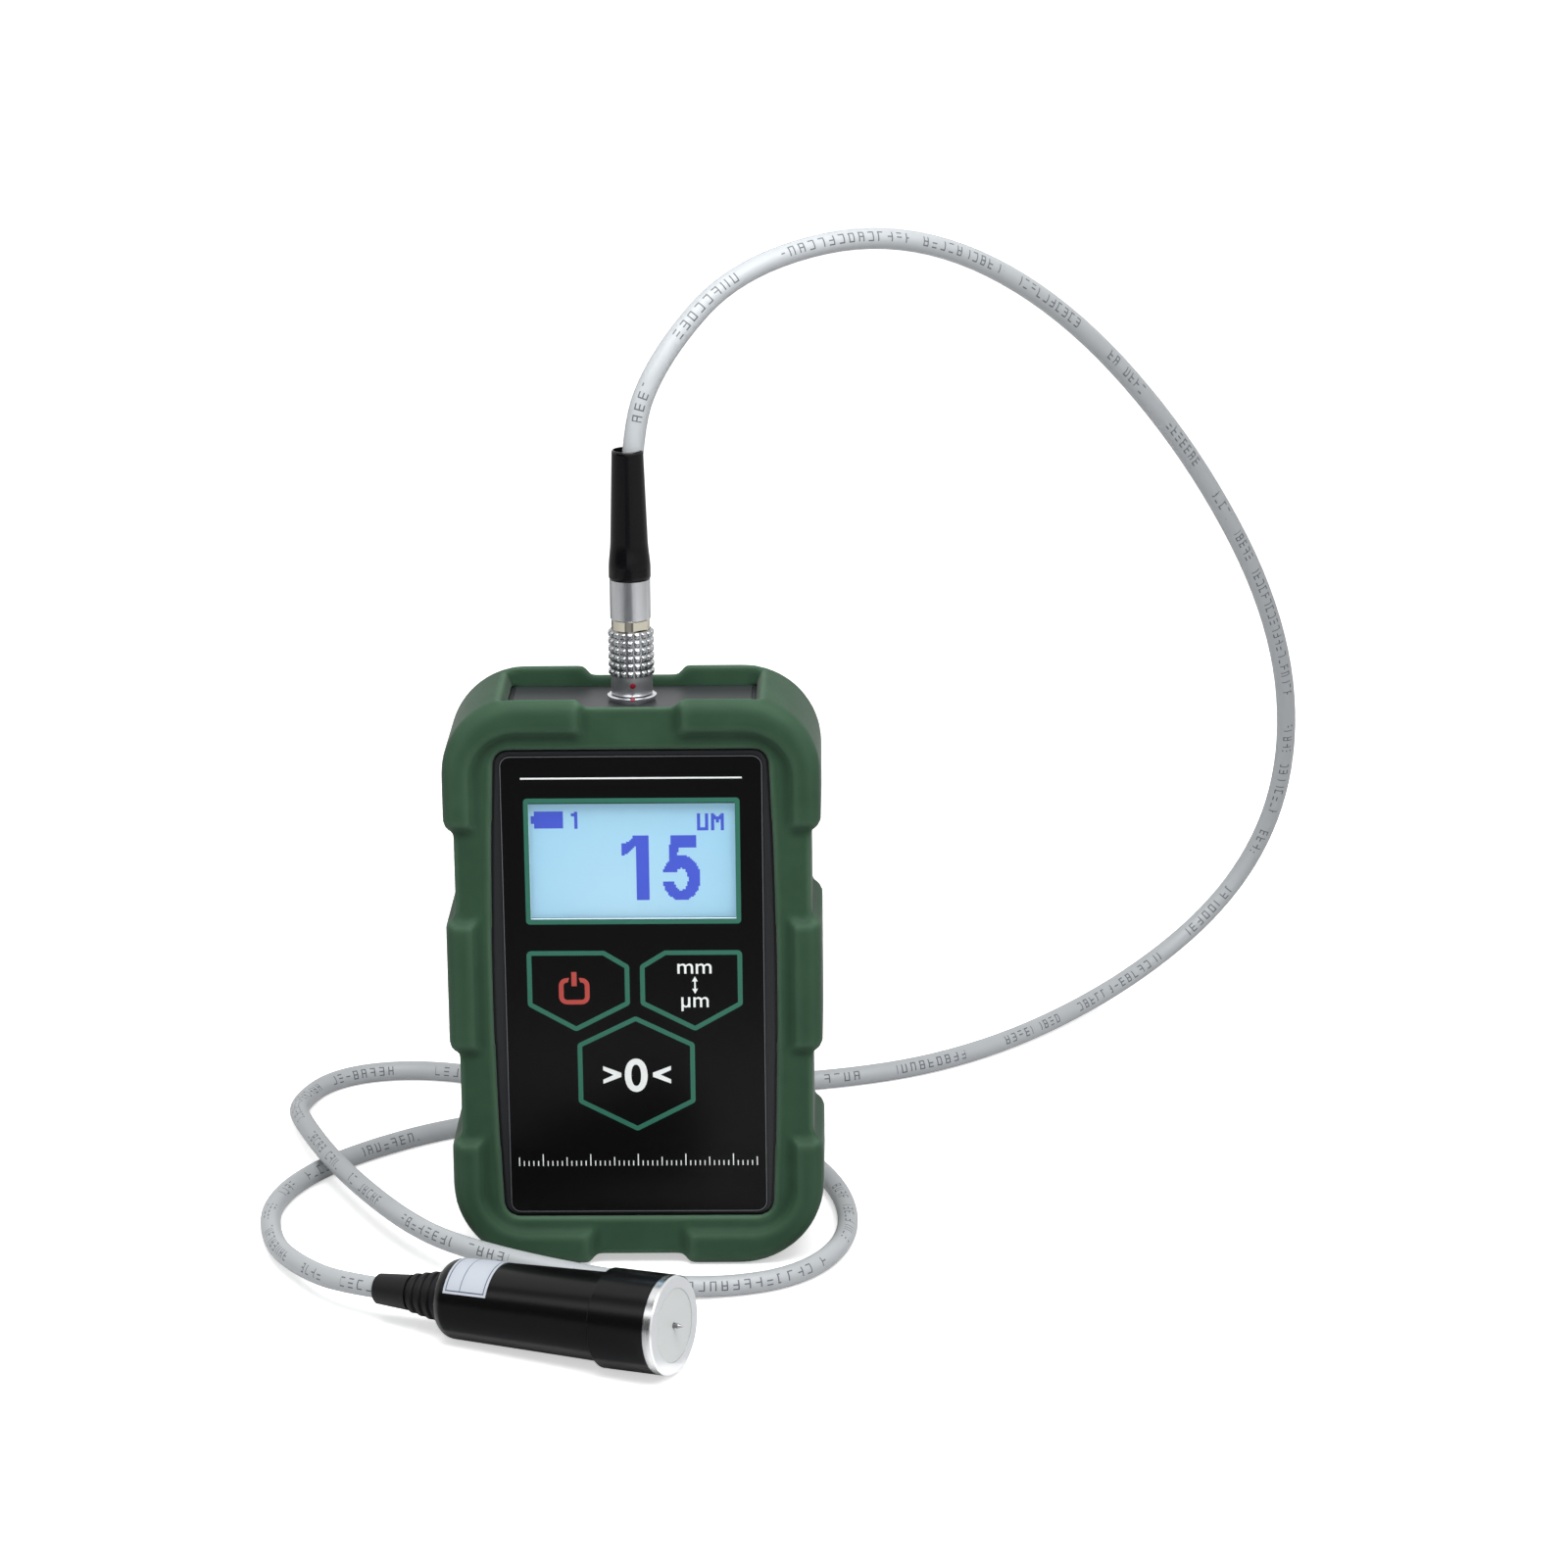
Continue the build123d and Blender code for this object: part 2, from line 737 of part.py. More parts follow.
with BuildPart() as main_board:
    with BuildSketch(Plane.XZ.offset(board_front)):
        add(rounded_outline(board_width, board_bottom, board_top, board_corner))
        with Locations((0, board_top - board_notch_depth / 2)):
            Rectangle(board_notch_width, board_notch_depth, mode=Mode.SUBTRACT)
        with Locations(*board_post_places):
            Circle(screw_pilot / 2 + 0.15, mode=Mode.SUBTRACT)
    extrude(amount=-board_thickness)
finish(main_board.part, "main_board")

with BuildPart() as board_screws:
    with BuildSketch(Plane.XZ.offset(board_back)):
        with Locations(*board_post_places):
            Circle(board_screw_head / 2)
    extrude(amount=-board_screw_head_height)
    with BuildSketch(Plane.XZ.offset(board_back)):
        with Locations(*board_post_places):
            Circle(screw_pilot / 2 - thread_gap)
    extrude(amount=board_thickness + board_screw_grip)
finish(board_screws.part, "board_screws")

with BuildPart() as processor_chip:
    with BuildSketch(Plane.XZ.offset(board_back)):
        with Locations((0, display_center - chip_drop)):
            RectangleRounded(chip_width, chip_width, 0.4)
    extrude(amount=-chip_height)
finish(processor_chip.part, "processor_chip")

with BuildPart() as buzzer:
    with BuildSketch(Plane.XZ.offset(board_back)):
        with Locations(buzzer_place):
            Circle(buzzer_diameter / 2)
    extrude(amount=-buzzer_height)
    with BuildSketch(Plane.XZ.offset(board_back - buzzer_height)):
        with Locations(buzzer_place):
            Circle(buzzer_hole / 2)
    extrude(amount=buzzer_height / 3, mode=Mode.SUBTRACT)
finish(buzzer.part, "buzzer")

# tact switches on the board, and the key actuators between them and the film
switch_front = board_front + switch_height
flange_back = inner_front - case_clearance - key_flange_thickness
for key, place in key_places.items():
    with BuildPart() as tact_switch:
        with BuildSketch(Plane.XZ.offset(board_front)):
            with Locations(place):
                RectangleRounded(switch_size, switch_size, 0.3)
        extrude(amount=switch_height)
        with BuildSketch(Plane.XZ.offset(switch_front)):
            with Locations(place):
                Circle(key_stem / 2 + key_stem_gap)
        extrude(amount=-switch_well, mode=Mode.SUBTRACT)
    finish(tact_switch.part, f"tact_switch_{key}")

    with BuildPart() as key_actuator:
        with BuildSketch(Plane.XZ.offset(flange_back)):
            with Locations(place):
                Circle(key_flange / 2)
        extrude(amount=key_flange_thickness)
        with BuildSketch(Plane.XZ.offset(flange_back + key_flange_thickness)):
            with Locations(place):
                Circle(key_cap / 2)
        extrude(amount=bezel_front - 0.05 - flange_back - key_flange_thickness)
        with BuildSketch(Plane.XZ.offset(flange_back)):
            with Locations(place):
                Circle(key_stem / 2)
        extrude(amount=-(flange_back - switch_front + switch_well - key_travel - 0.15))
    finish(key_actuator.part, f"key_actuator_{key}")

# two cells, sprung at the bottom and plated at the top
cell_places = (-cell_pitch / 2, cell_pitch / 2)
cell_bottom = bay_bottom + spring_length + cell_gap
for index, x in enumerate(cell_places):
    with BuildPart() as battery_cell:
        with BuildSketch(Plane.XY.offset(cell_bottom)):
            with Locations((x, -cell_front)):
                Circle(cell_diameter / 2)
        extrude(amount=cell_length - cell_nub)
        fillet(battery_cell.edges().filter_by(GeomType.CIRCLE), cell_edge)
        with BuildSketch(Plane.XY.offset(cell_bottom + cell_length - cell_nub)):
            with Locations((x, -cell_front)):
                Circle(cell_nub_diameter / 2)
        extrude(amount=cell_nub)
    finish(battery_cell.part, f"battery_cell_{index + 1}")

with BuildPart() as battery_contacts:
    contact_middle = contact_thickness / 2 + contact_gap
    for x in cell_places:
        with Locations((x, -cell_front, bay_top - contact_middle)):
            Box(contact_width, contact_depth, contact_thickness)
    with Locations((0, -cell_front, bay_bottom + contact_middle)):
        Box(cell_pitch + contact_width, contact_depth, contact_thickness)
finish(battery_contacts.part, "battery_contacts")

with BuildPart() as battery_springs:
    coil_height = spring_length - 2 * contact_middle - spring_wire
    for x in cell_places:
        start = (x, -cell_front, bay_bottom + 2 * contact_middle + spring_wire / 2)
        with BuildLine() as coil:
            Helix(spring_turn, coil_height, spring_radius, center=start, cone_angle=spring_cone)
        with BuildSketch(Plane(origin=coil.line @ 0, z_dir=coil.line % 0)):
            Circle(spring_wire / 2)
        sweep(path=coil.line)
finish(battery_springs.part, "battery_springs")

with BuildPart() as battery_cover:
    with BuildSketch(Plane.YZ.offset(-cover_width / 2)):
        with Locations((cover_axis_y, cover_axis_z)):
            Circle(cover_thickness / 2)
        with Locations((cover_axis_y, (cover_axis_z + cover_top) / 2)):
            Rectangle(cover_thickness, cover_top - cover_axis_z)
    extrude(amount=cover_width)
    with BuildSketch(Plane.YZ.offset(-(cover_width / 2 + cover_pin_reach))):
        with Locations((cover_axis_y, cover_axis_z)):
            Circle(cover_pin / 2)
    extrude(amount=cover_width + 2 * cover_pin_reach)
    # grip ribs near the free end
    with BuildSketch(Plane.XZ.offset(-cover_back)):
        with Locations((0, cover_top - cover_rib_drop)):
            with GridLocations(0, cover_rib_pitch, 1, cover_rib_count):
                Rectangle(thumb_notch, cover_rib_pitch / 2)
    extrude(amount=cover_rib_depth, mode=Mode.SUBTRACT)
finish(battery_cover.part, "battery_cover")

# panel socket
with BuildPart() as socket_shell:
    with BuildSketch(Plane.XZ):
        with BuildLine():
            Polyline(
                (0, socket_bottom),
                (socket_thread / 2, socket_bottom),
                (socket_thread / 2, panel_surface),
                (flange_foot / 2, panel_surface),
                (flange_diameter / 2, panel_surface + flange_height * 0.6),
                (flange_diameter / 2, panel_surface + flange_height - 0.2),
                (flange_diameter / 2 - flange_rim, panel_surface + flange_height),
                (0, panel_surface + flange_height),
                close=True,
            )
        make_face()
    revolve(axis=Axis.Z)
    with Locations((0, 0, panel_surface + flange_height)):
        Hole(socket_bore / 2)
finish(socket_shell.part, "socket_shell")

with BuildPart() as socket_nut:
    nut_seat = panel_surface - panel_thickness - case_clearance
    with BuildSketch(Plane.XY.offset(nut_seat)):
        RegularPolygon(nut_across / 2, 6, major_radius=False)
        Circle(socket_thread / 2 + socket_fit, mode=Mode.SUBTRACT)
    extrude(amount=-nut_height)
finish(socket_nut.part, "socket_nut")

with BuildPart() as socket_insert:
    with BuildSketch(Plane.XY.offset(insert_bottom)):
        Circle(socket_bore / 2 - socket_fit)
        with PolarLocations(contact_circle / 2, 4, start_angle=45):
            Circle(contact_diameter / 2 + socket_fit, mode=Mode.SUBTRACT)
    extrude(amount=insert_top - insert_bottom)
finish(socket_insert.part, "socket_insert")

with BuildPart() as socket_contacts:
    with BuildSketch(Plane.XY.offset(insert_bottom - contact_tail)):
        with PolarLocations(contact_circle / 2, 4, start_angle=45):
            Circle(contact_diameter / 2)
    extrude(amount=insert_top - insert_bottom + contact_tail)
    with BuildSketch(Plane.XY.offset(insert_top)):
        with PolarLocations(contact_circle / 2, 4, start_angle=45):
            Circle(pin_diameter / 2 + 0.05)
    extrude(amount=-(insert_top - pin_bottom + 0.3), mode=Mode.SUBTRACT)
finish(socket_contacts.part, "socket_contacts")

# four leads from the contacts to the back of the board
lead_reach = contact_circle / 2 * sin(radians(45))
with BuildPart() as socket_leads:
    for x in (-lead_reach, lead_reach):
        for y, drop in zip((-lead_reach, lead_reach), lead_drops):
            top = (x, y, insert_bottom - contact_tail - 0.02)
            bend = (x, y, top[2] - drop)
            with BuildLine() as lead:
                FilletPolyline(top, bend, (x, -board_back + 0.02, bend[2]), radius=lead_bend)
            with BuildSketch(Plane(origin=lead.line @ 0, z_dir=lead.line % 0)):
                Circle(lead_diameter / 2)
            sweep(path=lead.line)
finish(socket_leads.part, "socket_leads")

# plug
with BuildPart() as plug_shell:
    neck_bottom = sleeve_top - 0.5
    with BuildSketch(Plane.XZ):
        with BuildLine():
            Polyline(
                (0, latch_bottom),
                (latch_diameter / 2 - 0.3, latch_bottom),
                (latch_diameter / 2, latch_bottom + 0.5),
                (latch_diameter / 2, neck_bottom),
                (neck_diameter / 2, neck_bottom),
                (neck_diameter / 2, nut_bottom),
                (nut_bore / 2 - 0.1, nut_bottom),
                (nut_bore / 2 - 0.1, nut_bottom + spigot_height),
                (0, nut_bottom + spigot_height),
                close=True,
            )
        make_face()
    revolve(axis=Axis.Z)
    with BuildSketch(Plane.XY.offset(latch_bottom)):
        Circle(latch_bore / 2)
    extrude(amount=nut_bottom - latch_bottom, mode=Mode.SUBTRACT)
    with BuildSketch(Plane.XY.offset(nut_bottom)):
        Circle(relief_bore / 2)
    extrude(amount=5, mode=Mode.SUBTRACT)
    # wrench flats, turned so that one faces the front right
    across = (cos(radians(neck_turn)), sin(radians(neck_turn)), 0)
    with BuildSketch(Plane(origin=(0, 0, nut_bottom), x_dir=across)):
        with Locations((0, neck_diameter), (0, -neck_diameter)):
            Rectangle(2 * neck_diameter, 2 * neck_diameter - neck_flats)
    extrude(amount=-(nut_bottom - neck_bottom), mode=Mode.SUBTRACT)
finish(plug_shell.part, "plug_shell")

with BuildPart() as plug_insert:
    with BuildSketch(Plane.XY.offset(latch_bottom + 0.4)):
        Circle(latch_bore / 2 - socket_fit)
        with PolarLocations(contact_circle / 2, 4, start_angle=45):
            Circle(pin_diameter / 2 + socket_fit, mode=Mode.SUBTRACT)
    extrude(amount=pin_top - 1 - latch_bottom - 0.4)
finish(plug_insert.part, "plug_insert")

with BuildPart() as plug_pins:
    with BuildSketch(Plane.XY.offset(pin_bottom)):
        with PolarLocations(contact_circle / 2, 4, start_angle=45):
            Circle(pin_diameter / 2)
    extrude(amount=pin_top - pin_bottom)
finish(plug_pins.part, "plug_pins")

# knurled release sleeve: rings and flutes cut into the grip leave rows of square studs
with BuildPart() as release_sleeve:
    with BuildSketch(Plane.XZ):
        with BuildLine():
            Polyline(
                (0, sleeve_bottom),
                (sleeve_smooth / 2 - 0.2, sleeve_bottom),
                (sleeve_smooth / 2, sleeve_bottom + 0.2),
                (sleeve_smooth / 2, sleeve_grip_bottom),
                (sleeve_grip / 2 - 0.3, sleeve_grip_bottom),
                (sleeve_grip / 2, sleeve_grip_bottom + 0.3),
                (sleeve_grip / 2, sleeve_top - 0.3),
                (sleeve_grip / 2 - 0.3, sleeve_top),
                (0, sleeve_top),
                close=True,
            )
        make_face()
    revolve(axis=Axis.Z)
    row_pitch = sleeve_grip_height / knurl_rows
    with BuildSketch(Plane.XZ):
        with Locations(
            *[(sleeve_grip / 2, sleeve_grip_bottom + row_pitch * row) for row in range(1, knurl_rows)]
        ):
            Rectangle(2 * knurl_depth, knurl_groove)
    revolve(axis=Axis.Z, mode=Mode.SUBTRACT)
    with BuildSketch(Plane.XY.offset(sleeve_grip_bottom)):
        with PolarLocations(sleeve_grip / 2, knurl_count):
            Rectangle(2 * knurl_depth, knurl_groove)
    extrude(amount=sleeve_grip_height, mode=Mode.SUBTRACT)
    with Locations((0, 0, sleeve_top)):
        CounterBoreHole(
            latch_diameter / 2 + sleeve_gap, neck_diameter / 2 + sleeve_gap, sleeve_travel + 0.8
        )
finish(release_sleeve.part, "release_sleeve")

with BuildPart() as collet:
    with BuildSketch(Plane.XZ):
        with BuildLine():
            Polyline(
                (collet_bore / 2, nut_bottom + spigot_height + 0.1),
                (nut_bore / 2 - 0.1, nut_bottom + spigot_height + 0.1),
                (nut_bore / 2 - 0.1, nut_bottom + spigot_height + 1.8),
                (nut_bore / 2 - 0.6, nut_top - nut_cap - 0.1),
                (collet_bore / 2, nut_top - nut_cap - 0.1),
                close=True,
            )
        make_face()
    revolve(axis=Axis.Z)
    with BuildSketch(Plane.XY.offset(nut_bottom + spigot_height + 1.2)):
        with PolarLocations(nut_bore / 2, 3):
            Rectangle(nut_bore, collet_slit)
    extrude(amount=nut_length, mode=Mode.SUBTRACT)
finish(collet.part, "collet")

with BuildPart() as collet_nut:
    with BuildSketch(Plane.XY.offset(nut_bottom)):
        Circle(nut_diameter / 2)
    extrude(amount=nut_length)
    chamfer(collet_nut.faces().sort_by(Axis.Z)[0].edges(), 0.25)
    with BuildSketch(Plane.XY.offset(nut_bottom)):
        Circle(nut_bore / 2)
    extrude(amount=nut_length - nut_cap, mode=Mode.SUBTRACT)
    with Locations((0, 0, nut_top)):
        Hole(collet_bore / 2 + collet_gap)
finish(collet_nut.part, "collet_nut")

with BuildPart() as bend_relief:
    collar_top = nut_top + relief_collar_height
    with BuildSketch(Plane.XZ):
        with BuildLine():
            Line((0, nut_top), (relief_collar / 2 - relief_collar_round, nut_top))
            RadiusArc(
                (relief_collar / 2 - relief_collar_round, nut_top),
                (relief_collar / 2, nut_top + relief_collar_round),
                -relief_collar_round,
            )
            Polyline(
                (relief_collar / 2, nut_top + relief_collar_round),
                (relief_collar / 2, collar_top - 0.2),
                (relief_foot / 2, collar_top),
                (relief_top / 2, relief_end - 0.3),
                (relief_top / 2 - 0.2, relief_end),
                (0, relief_end),
                (0, nut_top),
            )
        make_face()
    revolve(axis=Axis.Z)
    with Locations((0, 0, relief_end)):
        Hole(relief_bore / 2)
    with BuildSketch(Plane.XY.offset(relief_end)):
        Circle(relief_mouth / 2)
    with BuildSketch(Plane.XY.offset(relief_end - relief_flare)):
        Circle(relief_bore / 2)
    loft(mode=Mode.SUBTRACT)
finish(bend_relief.part, "bend_relief")

# probe axis: the front sleeve and the barrel's rear edge both touch the table
sleeve_back = foot_thickness + sleeve_length
contact_span = barrel_length - barrel_round
contact_radius = barrel_diameter / 2 - barrel_taper * contact_span / barrel_length
probe_tilt = degrees(atan((sleeve_diameter / 2 - contact_radius) / contact_span))
probe_face_z = sleeve_back * sin(radians(probe_tilt)) + sleeve_diameter / 2 * cos(radians(probe_tilt))
probe_axis_dir = (
    cos(radians(probe_heading)) * cos(radians(probe_tilt)),
    sin(radians(probe_heading)) * cos(radians(probe_tilt)),
    sin(radians(probe_tilt)),
)
probe_side_dir = (sin(radians(probe_heading)), -cos(radians(probe_heading)), 0)
probe_face = (probe_face_x, probe_face_y, probe_face_z)
# x along the axis and out of the foot, y away from the axis and upwards
probe_section = Plane(origin=probe_face, x_dir=probe_axis_dir, z_dir=probe_side_dir)
probe_axis = Axis(probe_face, probe_axis_dir)


def on_probe_axis(distance):
    # a plane across the probe's axis, some way behind its face
    origin = tuple(p - distance * d for p, d in zip(probe_face, probe_axis_dir))
    return Plane(origin=origin, x_dir=probe_side_dir, z_dir=probe_axis_dir)


def turned(points):
    # closed profile of (distance behind the face, radius) pairs, for turning on the probe's axis
    with BuildSketch(probe_section) as profile:
        with BuildLine():
            Polyline(*[(-distance, radius) for distance, radius in points], close=True)
        make_face()
    return profile.sketch


barrel_back = sleeve_back + barrel_length
guide_back = foot_thickness + guide_length

with BuildPart() as probe_foot:
    add(
        turned(
            [
                (0, foot_recess / 2),
                (0, foot_diameter / 2 - 0.3),
                (0.3, foot_diameter / 2),
                (foot_thickness, foot_diameter / 2),
                (foot_thickness, foot_spigot / 2),
                (foot_thickness + foot_spigot_length, foot_spigot / 2),
                (foot_thickness + foot_spigot_length, guide_diameter / 2),
                (face_thickness + face_sink, guide_diameter / 2),
                (face_thickness + face_sink, foot_recess / 2),
            ]
        )
    )
    revolve(axis=probe_axis)
finish(probe_foot.part, "probe_foot")

with BuildPart() as probe_face_disc:
    add(
        turned(
            [
                (face_sink, needle_hole / 2),
                (face_sink, foot_recess / 2 - spigot_gap),
                (face_sink + face_thickness, foot_recess / 2 - spigot_gap),
                (face_sink + face_thickness, needle_hole / 2),
            ]
        )
    )
    revolve(axis=probe_axis)
finish(probe_face_disc.part, "probe_face_disc")

with BuildPart() as needle_guide:
    add(
        turned(
            [
                (foot_thickness, needle_shaft / 2 + needle_gap),
                (foot_thickness, guide_diameter / 2 - spigot_gap),
                (guide_back, guide_diameter / 2 - spigot_gap),
                (guide_back, needle_shaft / 2 + needle_gap),
            ]
        )
    )
    revolve(axis=probe_axis)
finish(needle_guide.part, "needle_guide")

collar_front = guide_back + 0.1
collar_back = collar_front + needle_collar_length
core_back = collar_back + needle_core_length
with BuildPart() as needle:
    add(
        turned(
            [
                (-needle_reach, 0),
                (-needle_reach, 0.06),
                (-needle_reach + needle_tip_length, needle_shaft / 2),
                (collar_front, needle_shaft / 2),
                (collar_front, needle_collar / 2),
                (collar_back, needle_collar / 2),
                (collar_back, needle_core / 2),
                (core_back, needle_core / 2),
                (core_back, 0),
            ]
        )
    )
    revolve(axis=probe_axis)
finish(needle.part, "needle")

coil_front = collar_back + probe_spring_length
coil_back = coil_front + coil_length
with BuildPart() as sensor_coil:
    add(
        turned(
            [
                (coil_front, needle_core / 2 + 0.3),
                (coil_front, barrel_bore / 2 - spigot_gap),
                (coil_front + 1, barrel_bore / 2 - spigot_gap),
                (coil_front + 1, coil_diameter / 2),
                (coil_back - 1, coil_diameter / 2),
                (coil_back - 1, barrel_bore / 2 - spigot_gap),
                (coil_back, barrel_bore / 2 - spigot_gap),
                (coil_back, needle_core / 2 + 0.3),
            ]
        )
    )
    revolve(axis=probe_axis)
finish(sensor_coil.part, "sensor_coil")

with BuildPart() as needle_spring:
    spring_base = on_probe_axis(coil_front - probe_spring_wire / 2 - 0.02).origin
    spring_rise = probe_spring_length - probe_spring_wire - 0.04
    with BuildLine() as coil:
        Helix(1.0, spring_rise, probe_spring_diameter / 2, spring_base, probe_axis_dir)
    with BuildSketch(Plane(origin=coil.line @ 0, z_dir=coil.line % 0)):
        Circle(probe_spring_wire / 2)
    sweep(path=coil.line)
finish(needle_spring.part, "needle_spring")

with BuildPart() as probe_sleeve:
    add(
        turned(
            [
                (foot_thickness, spigot_radius),
                (foot_thickness, sleeve_diameter / 2),
                (sleeve_back - 0.4, sleeve_diameter / 2),
                (sleeve_back, sleeve_diameter / 2 - 0.4),
                (sleeve_back, spigot_radius),
            ]
        )
    )
    revolve(axis=probe_axis)
finish(probe_sleeve.part, "probe_sleeve")

with BuildPart() as probe_barrel:
    add(
        turned(
            [
                (sleeve_back - barrel_spigot, barrel_bore / 2),
                (sleeve_back - barrel_spigot, spigot_radius - spigot_gap),
                (sleeve_back, spigot_radius - spigot_gap),
                (sleeve_back, barrel_diameter / 2),
                (barrel_back, barrel_rear / 2),
                (barrel_back, boot_neck / 2),
                (barrel_back - 2, boot_neck / 2),
                (barrel_back - 2, barrel_bore / 2),
            ]
        )
    )
    revolve(axis=probe_axis)
    rims = probe_barrel.edges().filter_by(GeomType.CIRCLE)
    rear_rims = rims.filter_by(lambda e: abs(e.radius - barrel_rear / 2) < 0.01)
    fillet(rear_rims.sort_by(probe_axis)[0], barrel_round)
finish(probe_barrel.part, "probe_barrel")

# ribbed boot: a smooth tip, then ribs that grow towards the barrel
boot_back = barrel_back + boot_length
rib_zone = boot_length - boot_tip_length
rib_pitch = rib_zone / boot_rib_count
boot_points = [
    (barrel_back - 3.4, cable_diameter / 2 + 0.1),
    (barrel_back - 3.4, boot_neck / 2 + 1.4),
    (barrel_back - 2.05, boot_neck / 2 + 1.4),
    (barrel_back - 2.05, boot_neck / 2 - spigot_gap),
    (barrel_back + 0.1, boot_neck / 2 - spigot_gap),
]
for rib in range(boot_rib_count):
    share = rib / boot_rib_count
    crest = boot_rib / 2 + (boot_tip / 2 - boot_rib / 2) * share
    rib_start = barrel_back + 0.1 + rib_pitch * rib
    boot_points += [
        (rib_start, crest - 0.3),
        (rib_start + 0.3, crest),
        (rib_start + rib_pitch * 0.55, crest),
        (rib_start + rib_pitch * 0.7, crest - 0.9),
        (rib_start + rib_pitch * 0.95, crest - 0.9),
    ]
boot_points += [
    (boot_back - boot_tip_length, boot_tip / 2),
    (boot_back - 0.3, boot_end / 2),
    (boot_back, boot_end / 2 - 0.3),
    (boot_back, cable_diameter / 2 + 0.1),
]
with BuildPart() as probe_boot:
    add(turned(boot_points))
    revolve(axis=probe_axis)
finish(probe_boot.part, "probe_boot")


def barrel_surface(distance):
    # the barrel's radius that far behind the probe's face
    return barrel_diameter / 2 - barrel_taper * (distance - sleeve_back) / barrel_length


label_end = label_start + label_width
with BuildPart() as probe_label:
    label_edge = turned(
        [
            (label_start, barrel_surface(label_start)),
            (label_start, barrel_surface(label_start) + label_thickness),
            (label_end, barrel_surface(label_end) + label_thickness),
            (label_end, barrel_surface(label_end)),
        ]
    )
    add(label_edge.rotate(probe_axis, -label_back_angle))
    revolve(axis=probe_axis, revolution_arc=label_back_angle + label_front_angle)
finish(probe_label.part, "probe_label")

# cable: from the plug in an arc down to the table, twice round the unit and into the probe
cable_radius = cable_diameter / 2
cable_end = tuple(on_probe_axis(barrel_back + cable_seat).origin)
cable_bend = tuple(on_probe_axis(barrel_back + cable_straight).origin)
cable_route = [
    (0, 0, nut_top - cable_plug_depth),
    (0, 0, relief_end + cable_rise),
    (4, 2, 192),
    (22, 13, 211),
    (56, 33, 213),
    (89, 61, 193),
    (119, 95, 152),
    (143, 129, 103),
    (152, 160, 58),
    (140, 177, 24),
    (109, 162, 5),
    (72, 122, cable_radius),
    (32, 92, cable_radius),
    (-14, 93, cable_radius),
    (-37, 100, cable_radius),
    (-59, 106, cable_radius),
    (-76.5, 98.5, cable_radius),
    (-84.5, 81, cable_radius),
    (-78.5, 57, cable_hump),
    (-63, 28, cable_hump),
    (-47.6, -14.3, 7.8),
    (-31.2, -28, 5.8),
    (-8.8, -32.4, 3.6),
    (14, -32.5, cable_radius),
    (36, -25, cable_radius),
    (48, -2, cable_radius),
    (47, 31, cable_radius),
    (30, 58, cable_radius),
    (-6, 73.5, cable_radius),
    (-42, 68.5, cable_radius),
    (-70, 45, cable_radius),
    (-82.5, 20, cable_radius),
    (-79, -7, cable_radius),
    (-70, -25, 4),
    cable_bend,
    cable_end,
]
route_points = [Vector(*point) for point in cable_route]
runs = [b - a for a, b in zip(route_points, route_points[1:])]
bend_radii = [
    0.45 * min(a.length, b.length) / tan(radians(a.get_angle(b) / 2)) for a, b in zip(runs, runs[1:])
]
print("cable radii", [round(radius, 1) for radius in bend_radii])

with BuildPart() as probe_cable:
    with BuildLine() as cable_line:
        FilletPolyline(*cable_route, radius=bend_radii)
    with BuildSketch(Plane(origin=cable_line.line @ 0, z_dir=cable_line.line % 0)):
        Circle(cable_radius)
    sweep(path=cable_line.line)
cable_length = cable_line.wire().length
print("cable length", round(cable_length, 1))
print("cable volume share", round(probe_cable.part.volume / (pi * cable_radius**2 * cable_length), 4))
finish(probe_cable.part, "probe_cable")
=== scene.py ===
import math

import bmesh
import bpy
from mathutils import Matrix, Vector


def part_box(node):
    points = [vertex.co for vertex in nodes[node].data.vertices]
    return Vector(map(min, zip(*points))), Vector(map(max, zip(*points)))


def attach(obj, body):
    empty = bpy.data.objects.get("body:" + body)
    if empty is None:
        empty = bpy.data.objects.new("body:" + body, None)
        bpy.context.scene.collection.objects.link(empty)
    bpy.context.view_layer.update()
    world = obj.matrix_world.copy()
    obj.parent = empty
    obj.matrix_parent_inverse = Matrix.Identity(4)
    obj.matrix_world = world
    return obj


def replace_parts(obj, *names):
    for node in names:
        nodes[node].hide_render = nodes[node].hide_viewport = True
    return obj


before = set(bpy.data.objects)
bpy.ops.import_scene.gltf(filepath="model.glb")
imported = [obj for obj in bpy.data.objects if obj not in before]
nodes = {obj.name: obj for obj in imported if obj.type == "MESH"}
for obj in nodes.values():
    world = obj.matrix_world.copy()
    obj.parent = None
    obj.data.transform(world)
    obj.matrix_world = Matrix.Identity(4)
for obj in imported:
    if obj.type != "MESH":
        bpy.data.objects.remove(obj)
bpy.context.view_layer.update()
mm = 0.001


# small helpers for colours, surfaces and meshes
def toLinear(hexColour):
    channels = [int(hexColour[i:i + 2], 16) / 255 for i in (1, 3, 5)]
    return tuple(c / 12.92 if c <= 0.04045 else ((c + 0.055) / 1.055) ** 2.4 for c in channels) + (1,)


def addNode(material, kind, settings=None, inputs=None, to=()):
    # inputs takes a value or a link for each socket, to takes pairs of an output and the socket that it feeds
    node = material.node_tree.nodes.new("ShaderNode" + kind)
    for name, value in (settings or {}).items():
        setattr(node, name, value)
    for socket, value in (inputs or {}).items():
        if isinstance(value, bpy.types.NodeSocket):
            material.node_tree.links.new(value, node.inputs[socket])
        else:
            node.inputs[socket].default_value = value
    for output, socket in to:
        material.node_tree.links.new(node.outputs[output], socket)
    return node


